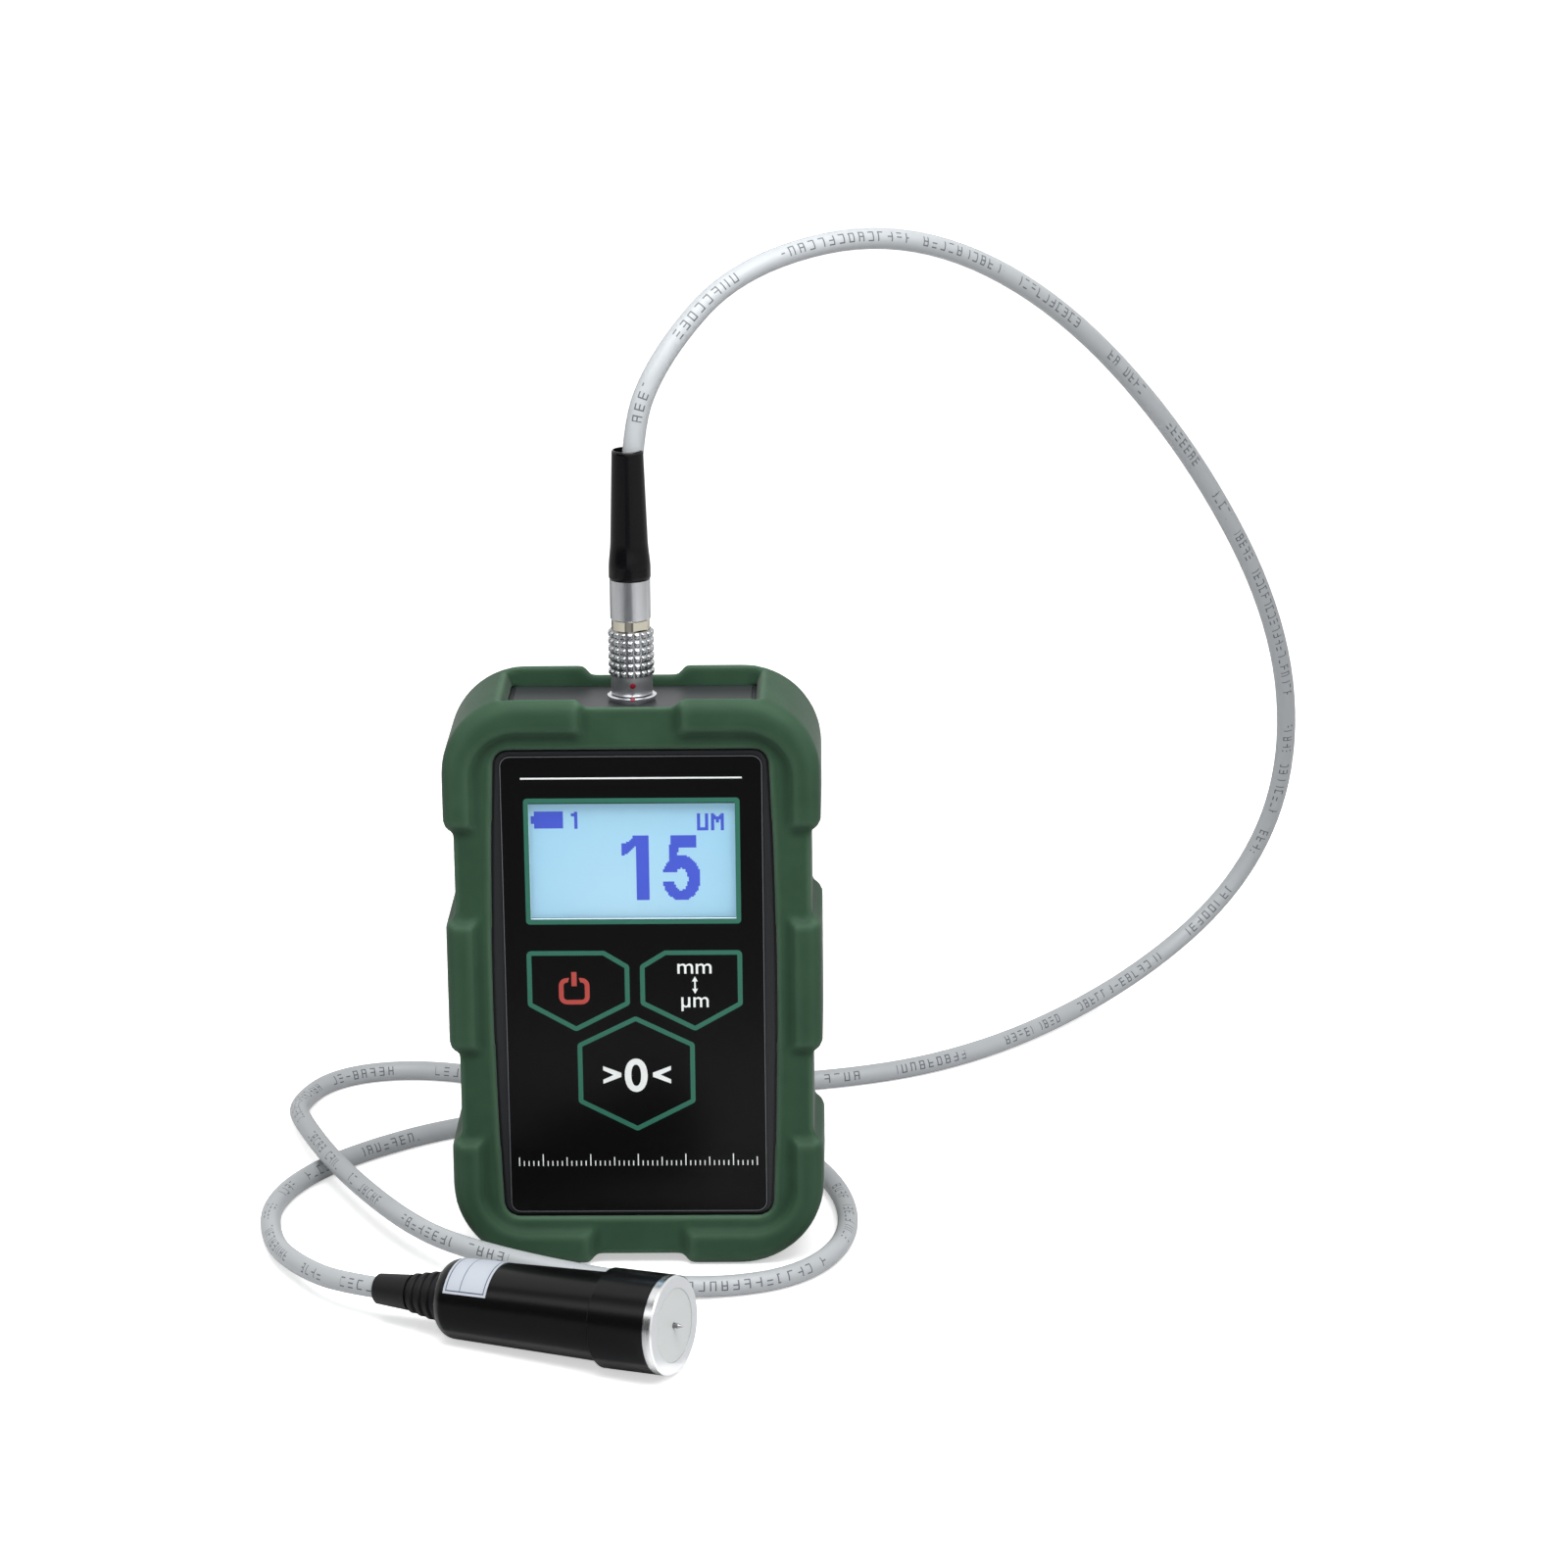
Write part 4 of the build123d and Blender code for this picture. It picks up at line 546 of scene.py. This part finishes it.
heading, tilt = math.radians(probe["heading"]), math.radians(probe["tilt"])
probeAhead = Vector((math.cos(heading) * math.cos(tilt), math.sin(heading) * math.cos(tilt), math.sin(tilt)))
probeSide = Vector((math.sin(heading), -math.cos(heading), 0))
probeUp = probeSide.cross(probeAhead)
probeFace = Vector(probe["face"]) * mm


# turned aluminium: rings round the probe's axis, bright where the tool left them
footLook = {"colour": "#dcddde", "ringPitch": 0.12, "roughness": (0.16, 0.34)}


def makeTurnedFoot():
    material, shader = newMaterial("turnedAluminium", footLook["colour"], 0.22, Metallic=1.0)
    place = addNode(material, "TexCoord").outputs["Object"]
    fromFace = addNode(material, "VectorMath", {"operation": "SUBTRACT"}, {0: place, 1: probeFace})
    along = addNode(material, "VectorMath", {"operation": "DOT_PRODUCT"}, {0: fromFace.outputs[0], 1: probeAhead})
    rings = raiseTurning(material, shader, along.outputs["Value"], footLook["ringPitch"], 0.3)
    smoothest, roughest = footLook["roughness"]
    addNode(material, "MapRange", inputs={"Value": rings, "To Min": smoothest, "To Max": roughest},
            to=[(0, shader.inputs["Roughness"])])
    return material


dress(["probe_foot"], makeTurnedFoot())


# signal cable: grey PVC, printed with a row of short dark marks; mm, but its whole length in metres
cableLook = {"diameter": 4.4, "jacket": "#a6aaad", "ink": "#575b5f", "markPitch": 2.35, "markShare": 0.15,
             "wordPitch": 14, "wordGaps": 0.44, "strokeGaps": 0.42, "strands": 5, "around": 24,
             "printedSide": (0.05, -0.93, 0.36), "exitHeight": 172.4, "length": 1.15}
floorHeight = 2.2  # middle of the cable where it lies on the floor
overHeight = 7.4  # where it crosses its own lower turn
cableRoute = [
    (0, 0, 143),
    (0, 0, 174),
    (6.2, 3, 191),
    (23.2, 13.5, 208.6),
    (56, 33, 212.6),
    (89, 61, 193),
    (120.6, 95, 152.9),
    (144.8, 129, 103.7),
    (150.9, 160, 58.2),
    (140, 176, 23),
    (111, 159, 3.2),
    (73, 110, floorHeight),
    (33, 92, floorHeight),
    (-14, 93, floorHeight),
    (-37, 98, floorHeight),
    (-59, 105, floorHeight),
    (-76.5, 98.5, floorHeight),
    (-83, 80, floorHeight),
    (-78.5, 54, overHeight),
    (-67, 24, overHeight),
    (-48, -11.5, 7.6),
    (-32.5, -24.5, 7),
    (-8.8, -32, 4.4),
    (14, -33.5, floorHeight),
    (35, -26, floorHeight),
    (45, -3, floorHeight),
    (42, 28, floorHeight),
    (27.5, 57, floorHeight),
    (-6, 73.5, floorHeight),
    (-42, 68.5, floorHeight),
    (-70, 45, floorHeight),
    (-81.9, 20, floorHeight),
    (-79, -7, 2.7),
    (-70, -26, 4.4),
]
for behind in probe["cableEnds"]:
    cableRoute.append(tuple((probeFace - probeAhead * behind * mm) / mm))


def smoothLine(name, points):
    # centreline of a NURBS curve through the route, as vertices in order
    curve = bpy.data.curves.new(name, "CURVE")
    curve.dimensions = "3D"
    curve.resolution_u = 10
    spline = curve.splines.new("NURBS")
    spline.points.add(len(points) - 1)
    for point, place in zip(spline.points, points):
        point.co = (*(c * mm for c in place), 1)
    spline.order_u = 3
    spline.use_endpoint_u = True
    holder = bpy.data.objects.new(name, curve)
    line = [v.co.copy() for v in bpy.data.meshes.new_from_object(holder).vertices]
    bpy.data.objects.remove(holder)
    return line


def tubeMesh(name, line, radius, around, printed):
    # rings square to the line; u is metres along, v the turn, with its middle on the printed side
    mesh = bpy.data.meshes.new(name)
    shape = bmesh.new()
    uvLayer = shape.loops.layers.uv.new("cableRun")
    rings, travelled, lengths = [], 0.0, []
    for index, point in enumerate(line):
        before, after = line[max(index - 1, 0)], line[min(index + 1, len(line) - 1)]
        tangent = (after - before).normalized()
        side = (tangent * printed.dot(tangent) - printed).normalized()
        across = tangent.cross(side)
        if index:
            travelled += (point - line[index - 1]).length
        lengths.append(travelled)
        ring = []
        for step in range(around):
            angle = 2 * math.pi * step / around
            ring.append(shape.verts.new(point + radius * (math.cos(angle) * side + math.sin(angle) * across)))
        rings.append(ring)
    for row in range(len(rings) - 1):
        for step in range(around):
            nextStep = (step + 1) % around
            near, far = rings[row], rings[row + 1]
            face = shape.faces.new((near[step], near[nextStep], far[nextStep], far[step]))
            face.smooth = True
            corners = ((row, step), (row, step + 1), (row + 1, step + 1), (row + 1, step))
            for loop, (u, v) in zip(face.loops, corners):
                loop[uvLayer].uv = (lengths[u], v / around)
    shape.faces.new(list(reversed(rings[0])))
    shape.faces.new(rings[-1])
    bmesh.ops.recalc_face_normals(shape, faces=shape.faces)
    shape.to_mesh(mesh)
    shape.free()
    return mesh, travelled


# extruded soft PVC: satin, with a faint waviness from the strands inside and thin marks printed on one side;
# each mark is made of up to five strokes, chosen by chance: middle, half length along the cable, middle, half height
markStrokes = [(0.2, 0.06, 0.5, 0.5), (0.65, 0.06, 0.5, 0.5), (0.42, 0.27, 0.95, 0.07), (0.42, 0.27, 0.5, 0.07),
               (0.42, 0.27, 0.05, 0.07)]


def makeCableJacket():
    material, shader = newMaterial("satinPvcJacket", cableLook["jacket"], 0.42, IOR=1.53, Specular_IOR_Level=0.35)
    run = addNode(material, "UVMap", {"uv_map": "cableRun"})
    split = addNode(material, "SeparateXYZ", inputs={0: run.outputs[0]})
    words = addNode(material, "TexNoise", {"noise_dimensions": "1D"}, {
        "W": split.outputs["X"], "Scale": 1 / (cableLook["wordPitch"] * mm), "Detail": 0.0})
    made = {"travel": split.outputs["X"], "turn": split.outputs["Y"], "words": words.outputs["Fac"]}
    # each sum has its name, its operation and what it works on: a number, or the name of a sum before it
    sums = [("cells", "MULTIPLY", "travel", 1 / (cableLook["markPitch"] * mm)),
            ("along", "FRACT", "cells"), ("number", "FLOOR", "cells"),
            ("high", "MULTIPLY_ADD", "turn", 1 / cableLook["markShare"], 0.5 - 0.5 / cableLook["markShare"])]
    marks = 0.0
    for index, (middle, halfLong, centre, halfHigh) in enumerate(markStrokes):
        seed, chance, shown, long, tall, bar, stroke, both = (
            word + str(index) for word in ("seed", "chance", "shown", "long", "tall", "bar", "stroke", "marks"))
        sums += [(seed, "ADD", "number", index * 0.17), (chance, "CHANCE", seed),
                 (shown, "GREATER_THAN", chance, cableLook["strokeGaps"]),
                 (long, "COMPARE", "along", middle, halfLong), (tall, "COMPARE", "high", centre, halfHigh),
                 (bar, "MULTIPLY", long, tall), (stroke, "MULTIPLY", bar, shown), (both, "MAXIMUM", marks, stroke)]
        marks = both
    sums += [("printed", "GREATER_THAN", "words", cableLook["wordGaps"]), ("inked", "MULTIPLY", marks, "printed")]
    for name, operation, *values in sums:
        if operation == "CHANCE":
            node = addNode(material, "TexWhiteNoise", {"noise_dimensions": "1D"}, {"W": made[values[0]]})
        else:
            node = addNode(material, "Math", {"operation": operation}, {
                socket: made.get(value, value) for socket, value in enumerate(values)})
        made[name] = node.outputs["Value"]
    addNode(material, "Mix", {"data_type": "RGBA"}, {
        0: made["inked"], 6: toLinear(cableLook["jacket"]), 7: toLinear(cableLook["ink"])},
        to=[(2, shader.inputs["Base Color"])])
    raiseGrain(material, shader, cableLook["strands"], 0.15, 0.08)
    return material


cableLine = smoothLine("cableRoute", cableRoute)
cableMesh, cableLength = tubeMesh("signalCable", cableLine, cableLook["diameter"] / 2 * mm, cableLook["around"],
                                  Vector(cableLook["printedSide"]))
signalCable = addPiece("signalCable", cableMesh, makeCableJacket())
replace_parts(signalCable, "probe_cable")
print("cable laid, metres:", round(cableLength, 3))


# printing on the film and the display: thin flat shapes, x to the right and z up, in mm
printing = {"filmFront": -12.5, "windowBack": -11.4, "displayFront": -10.9, "ink": 0.02, "border": 1.0,
            "filmCorner": 2.0, "edgeIn": 0.2, "edgeLine": 0.16, "tightest": 0.12}


def cornerArc(before, corner, after, radius, steps=5):
    # the corner rounded off, as points from one tangent point to the other
    inward, outward = (before - corner).normalized(), (after - corner).normalized()
    half = inward.angle(outward) / 2
    cut = radius / math.tan(half)
    centre = corner + (inward + outward).normalized() * radius / math.sin(half)
    start, stop = corner + inward * cut - centre, corner + outward * cut - centre
    sweep = start.angle_signed(stop)
    return [centre + Matrix.Rotation(-sweep * step / steps, 2) @ start for step in range(steps + 1)]


def roundedLoop(points, radius):
    points = [Vector(point) for point in points]
    loop = []
    for index, corner in enumerate(points):
        loop += cornerArc(points[index - 1], corner, points[(index + 1) % len(points)], radius)
    return loop


def offsetLoop(points, distance):
    # every side moved outwards by the distance; the points run clockwise or not, alike
    points = [Vector(point) for point in points]
    area = sum(a.cross(b) for a, b in zip(points, points[1:] + points[:1]))
    turn = 1 if area > 0 else -1
    moved = []
    for index, corner in enumerate(points):
        back = (corner - points[index - 1]).normalized()
        on = (points[(index + 1) % len(points)] - corner).normalized()
        normals = [Vector((side.y, -side.x)) * turn for side in (back, on)]
        middle = (normals[0] + normals[1]).normalized()
        moved.append(corner + middle * distance / middle.dot(normals[0]))
    return moved


def printShape(name, points, faces, front, material, weld=0):
    # flat faces in x and z turned into a thin closed slab whose back lies on the surface
    mesh = bpy.data.meshes.new(name)
    shape = bmesh.new()
    verts = [shape.verts.new((x * mm, front * mm, z * mm)) for x, z in points]
    for face in faces:
        shape.faces.new([verts[i] for i in face])
    if weld:
        bmesh.ops.remove_doubles(shape, verts=shape.verts, dist=weld * mm)
    bmesh.ops.recalc_face_normals(shape, faces=shape.faces)
    raised = bmesh.ops.extrude_face_region(shape, geom=list(shape.faces))
    top = [item for item in raised["geom"] if isinstance(item, bmesh.types.BMVert)]
    bmesh.ops.translate(shape, verts=top, vec=(0, -printing["ink"] * mm, 0))
    bmesh.ops.recalc_face_normals(shape, faces=shape.faces)
    shape.to_mesh(mesh)
    shape.free()
    return addPiece(name, mesh, material)


def lineLoop(name, points, width, corner, front, material):
    # a closed printed line of that width along the polygon, with rounded corners
    outer = roundedLoop(offsetLoop(points, width / 2), corner + width / 2)
    inner = roundedLoop(offsetLoop(points, -width / 2), max(corner - width / 2, printing["tightest"]))
    count = len(outer)
    faces = [(i, (i + 1) % count, (i + 1) % count + count, i + count) for i in range(count)]
    return printShape(name, outer + inner, faces, front, material)


def filledShape(name, points, front, material):
    return printShape(name, points, [tuple(range(len(points)))], front, material)


def printedWord(name, word, left, right, low, high, front, material, weight=0.0):
    # set in the built-in sans, then fitted to its printed width and height
    curve = bpy.data.curves.new(name, "FONT")
    curve.body = word
    curve.offset = weight
    curve.resolution_u = 6
    holder = bpy.data.objects.new(name, curve)
    flat = bpy.data.meshes.new_from_object(holder)
    bpy.data.objects.remove(holder)
    xs, ys = [v.co.x for v in flat.vertices], [v.co.y for v in flat.vertices]
    wide, tall = (right - left) / (max(xs) - min(xs)), (high - low) / (max(ys) - min(ys))
    points = [(left + (v.co.x - min(xs)) * wide, low + (v.co.y - min(ys)) * tall) for v in flat.vertices]
    faces = [tuple(face.vertices) for face in flat.polygons]
    return printShape(name, points, faces, front, material)


# screen inks on the film: flat and slightly dull; the crystal's cells darken where they are switched on
greenInk = makePlain("greenScreenInk", "#226350", 0.4, 0.5)
redInk = makePlain("redScreenInk", "#a83d35", 0.4, 0.5)
paleInk = makePlain("paleScreenInk", "#dfe3e2", 0.4, 0.5)
displayInk = makePlain("darkenedCrystal", "#30419e", 0.4, 0.5, Emission_Color=toLinear("#3f57d8"),
                       Emission_Strength=0.4)

film, border = printing["filmFront"], printing["border"]
half, low, high = 21.8, 75.6, 101.8
lineLoop("displayBorder", [(-half, low), (half, low), (half, high), (-half, high)], border, 0.3, film, greenInk)
keySide = [(-21.9, 68.8), (-6.4, 68.8), (-1.6, 65.8), (-1.6, 57.8), (-12.4, 52.2), (-21.9, 57.6)]
lineLoop("powerKeyLine", keySide, border, 0.5, film, greenInk)
lineLoop("unitsKeyLine", [(-x, z) for x, z in reversed(keySide)], border, 0.5, film, greenInk)
lineLoop("zeroKeyLine", [(0, 54.4), (11.75, 48.6), (11.75, 36.2), (0, 30.1), (-11.75, 36.2), (-11.75, 48.6)],
         border, 0.5, film, greenInk)

# painted highlight: the glint on the film's cut edge, drawn as a thin grey line
filmEdgeGlint = makePlain("paintedFilmEdgeGlint", "#5a5c60", 0.35, 0.5)
(left, _, low), (right, _, high) = (tuple(c / mm for c in corner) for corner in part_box("keypad_film"))
filmCorners = [(left, low), (right, low), (right, high), (left, high)]
lineLoop("filmEdge", offsetLoop(filmCorners, -printing["edgeIn"]), printing["edgeLine"], printing["filmCorner"], film,
         filmEdgeGlint)
printedWord("unitMillimetres", "mm", 8.9, 16.0, 64.2, 66.4, film, paleInk, 0.004)
printedWord("unitMicrometres", "µm", 9.6, 15.3, 56.0, 59.1, film, paleInk, 0.004)
printedWord("zeroDigit", "0", -2.5, 2.3, 38.2, 45.6, film, paleInk, 0.02)
# two arrows point at the zero
arrow = {"long": 3.8, "notch": 1.6, "middle": 42.0, "halfTall": 1.95, "stroke": 0.9, "halfTip": 0.45}
for name, sign, tip in (("zeroArrowLeft", 1, -3.2), ("zeroArrowRight", -1, 3.4)):
    back, middle, tall, blunt = tip - sign * arrow["long"], arrow["middle"], arrow["halfTall"], arrow["halfTip"]
    filledShape(name, [
        (back, middle + tall), (back, middle + tall - arrow["stroke"]), (tip - sign * arrow["notch"], middle),
        (back, middle - tall + arrow["stroke"]), (back, middle - tall), (tip, middle - blunt), (tip, middle + blunt),
    ], film, paleInk)
filledShape("unitArrow", [
    (12.5, 63.6), (13.1, 62.5), (12.66, 62.5), (12.66, 60.9), (13.1, 60.9), (12.5, 59.8), (11.9, 60.9),
    (12.34, 60.9), (12.34, 62.5), (11.9, 62.5),
], film, paleInk)


def openRing(name, centre, halfWide, low, high, stroke, corner, gap, material):
    # a rounded square line, open at the middle of its top
    rows = []
    for inset in (0, stroke):
        wide, top, bottom = halfWide - inset, high - inset, low + inset
        box = [Vector(p) for p in ((wide, top), (wide, bottom), (-wide, bottom), (-wide, top))]
        row = [Vector((gap + inset * 0.3, top))]
        for index, place in enumerate(box):
            row += cornerArc(box[index - 1], place, box[(index + 1) % 4], max(corner - inset, 0.3))
        rows.append(row + [Vector((-gap - inset * 0.3, top))])
    count = len(rows[0])
    points = [(point.x + centre, point.y) for row in rows for point in row]
    faces = [(i, i + 1, i + 1 + count, i + count) for i in range(count - 1)]
    return printShape(name, points, faces, film, material)


openRing("powerRing", -12.65, 3.2, 57.6, 63.4, 1.0, 1.7, 1.0, redInk)
filledShape("powerBar", [(-13.2, 61.6), (-12.1, 61.6), (-12.1, 64.7), (-13.2, 64.7)], film, redInk)

# a plain rule above the display and a fine scale below the keys, in millimetres
filledShape("topRule", [(-22.8, 106.4), (22.8, 106.4), (22.8, 106.75), (-22.8, 106.75)], film, paleInk)
scale = {"half": 25, "low": 21.8, "tens": 2.6, "fives": 1.9, "ones": 1.1, "halfLine": 0.11}
scalePoints, scaleFaces = [], []
for tick in range(-scale["half"], scale["half"] + 1):
    tall = scale["tens"] if tick % 10 == 0 else scale["fives"] if tick % 5 == 0 else scale["ones"]
    left, right, low, high = tick - scale["halfLine"], tick + scale["halfLine"], scale["low"], scale["low"] + tall
    first = len(scalePoints)
    scalePoints += [(left, low), (right, low), (right, high), (left, high)]
    scaleFaces.append((first, first + 1, first + 2, first + 3))
printShape("millimetreScale", scalePoints, scaleFaces, film, paleInk)

# painted glow: a pale glowing line on the back of the clear window, round the display, for the light at the display's
# edges
displayEdgeGlow = makePlain("paintedDisplayEdgeGlow", "#cfe9f6", 0.4, 0.5, Emission_Color=toLinear("#cfeaf8"),
                    Emission_Strength=0.6)
lineLoop("windowEdge", [(-21.65, 75.75), (21.65, 75.75), (21.65, 101.45), (-21.65, 101.45)], 0.7, 0.3,
         printing["windowBack"], displayEdgeGlow)


# reading on the display, drawn in square cells as such a display draws it: mm and cells across
displayGrid = {"wide": 42.6, "cells": 128}
cell = displayGrid["wide"] / displayGrid["cells"]


def cellShape(name, inside, left, right, low, high):
    points, faces = [], []
    across, tall = round((right - left) / cell), round((high - low) / cell)
    for column in range(across):
        for row in range(tall):
            if inside((column + 0.5) / across, (row + 0.5) / tall):
                x, z = left + column * cell, low + row * cell
                first = len(points)
                points += [(x, z), (x + cell, z), (x + cell, z + cell), (x, z + cell)]
                faces.append((first, first + 1, first + 2, first + 3))
    return printShape(name, points, faces, printing["displayFront"], displayInk, cell / 10)


def digitOne(x, y):
    stem = 0.55 < x < 1.0
    flag = y > 0.68 and x < 0.6 and abs(y - (0.78 + 0.22 * x * x / 0.36)) < 0.09
    return stem or flag


def digitFive(x, y):
    topBar = y > 0.82 and 0.2 < x < 0.9
    neck = y > 0.42 and 0.06 + 0.16 * y < x < 0.34 + 0.1 * y
    reach = math.hypot((x - 0.5) / 0.52, (y - 0.34) / 0.35)
    hollow = math.hypot((x - 0.49) / 0.19, (y - 0.32) / 0.17)
    opening = x < 0.36 and 0.28 < y < 0.42
    return topBar or neck or (reach < 1 and hollow > 1 and not opening)


cellShape("readingTens", digitOne, -2.3, 3.3, 79.8, 93.8)
cellShape("readingUnits", digitFive, 6.2, 13.8, 79.8, 93.8)
cellShape("batterySymbol", lambda x, y: x > 0.1 or 0.3 < y < 0.7, -20.9, -14.1, 95.4, 98.9)
cellShape("channelDigit", lambda x, y: 0.4 < x < 0.75 or (x < 0.5 and 0.7 < y < 0.9), -12.6, -11.0, 95.3, 98.8)


def letterU(x, y):
    return x < 0.3 or x > 0.7 or y < 0.15


def letterM(x, y):
    return x < 0.25 or x > 0.75 or (y > 0.45 and abs(abs(x - 0.5) - (y - 0.55) * 0.8) < 0.12)


cellShape("unitFirst", letterU, 13.4, 15.8, 94.8, 98.4)
cellShape("unitSecond", letterM, 16.3, 18.9, 94.8, 98.4)
print("printing set")


# red dots that line the plug up with its socket
redLacquer = makePlain("redLacquer", "#741428", 0.35, 0.5, Specular_IOR_Level=0.2)


def roundDot(name, centre, outward, radius, body, swell=0.12):
    mesh = bpy.data.meshes.new(name)
    shape = bmesh.new()
    turn = Vector(outward).to_track_quat("Z", "Y").to_matrix().to_4x4()
    bmesh.ops.create_uvsphere(shape, u_segments=20, v_segments=10, radius=1,
                              matrix=Matrix.Translation(Vector(centre) * mm) @ turn @ Matrix.Diagonal(
                                  (radius * mm, radius * mm, swell * mm, 1)))
    for face in shape.faces:
        face.smooth = True
    shape.to_mesh(mesh)
    shape.free()
    return addPiece(name, mesh, redLacquer, body)


roundDot("sleeveDot", (0.41, -4.26, 123.9), (0.095, -1, 0), 0.6, "release_sleeve_body")
roundDot("flangeDot", (0.35, -4.93, 121.22), (0.07, -0.75, 0.6), 0.5, "unit")


# rules printed on the label, each a thin patch that follows the barrel: mm behind the face, degrees from the top
labelLook = {"start": 38.8, "end": 48.8, "rear": 52.15, "front": 14.75, "wide": 9.0, "narrow": 8.15, "lift": 0.165,
             "topAngle": -55.0, "lowAngle": 58.1, "line": 0.22, "thinLine": 0.154, "lineAngle": 1.5, "inset": 0.5,
             "divideAt": 0.62, "patchAngle": 4}


def labelPatch(name, near, far, firstAngle, lastAngle):
    mesh = bpy.data.meshes.new(name)
    shape = bmesh.new()
    steps = max(2, round(abs(lastAngle - firstAngle) / labelLook["patchAngle"]))
    rows = []
    for step in range(steps + 1):
        angle = math.radians(firstAngle + (lastAngle - firstAngle) * step / steps)
        outward = math.cos(angle) * probeUp + math.sin(angle) * probeSide
        row = []
        for distance in (near, far):
            share = (distance - labelLook["front"]) / (labelLook["rear"] - labelLook["front"])
            radius = labelLook["wide"] + (labelLook["narrow"] - labelLook["wide"]) * share + labelLook["lift"]
            row.append(shape.verts.new(probeFace - probeAhead * distance * mm + outward * radius * mm))
        rows.append(row)
    for before, after in zip(rows, rows[1:]):
        shape.faces.new((before[0], before[1], after[1], after[0]))
    bmesh.ops.recalc_face_normals(shape, faces=shape.faces)
    shape.to_mesh(mesh)
    shape.free()
    return addPiece(name, mesh, labelInk, "unit")


labelInk = makePlain("darkBlueLabelInk", "#3b4658", 0.5, 0.5)
start, end = labelLook["start"] + labelLook["inset"], labelLook["end"] - labelLook["inset"]
divide = start + labelLook["divideAt"] * (end - start)
top, low = labelLook["topAngle"], labelLook["lowAngle"]
labelPatch("labelRuleFront", start, start + labelLook["line"], top, low)
labelPatch("labelRuleRear", end - labelLook["line"], end, top, low)
labelPatch("labelRuleDivide", divide, divide + labelLook["thinLine"], top, low)
labelPatch("labelRuleLow", start, end, low - labelLook["lineAngle"], low)
print("dots and label set")
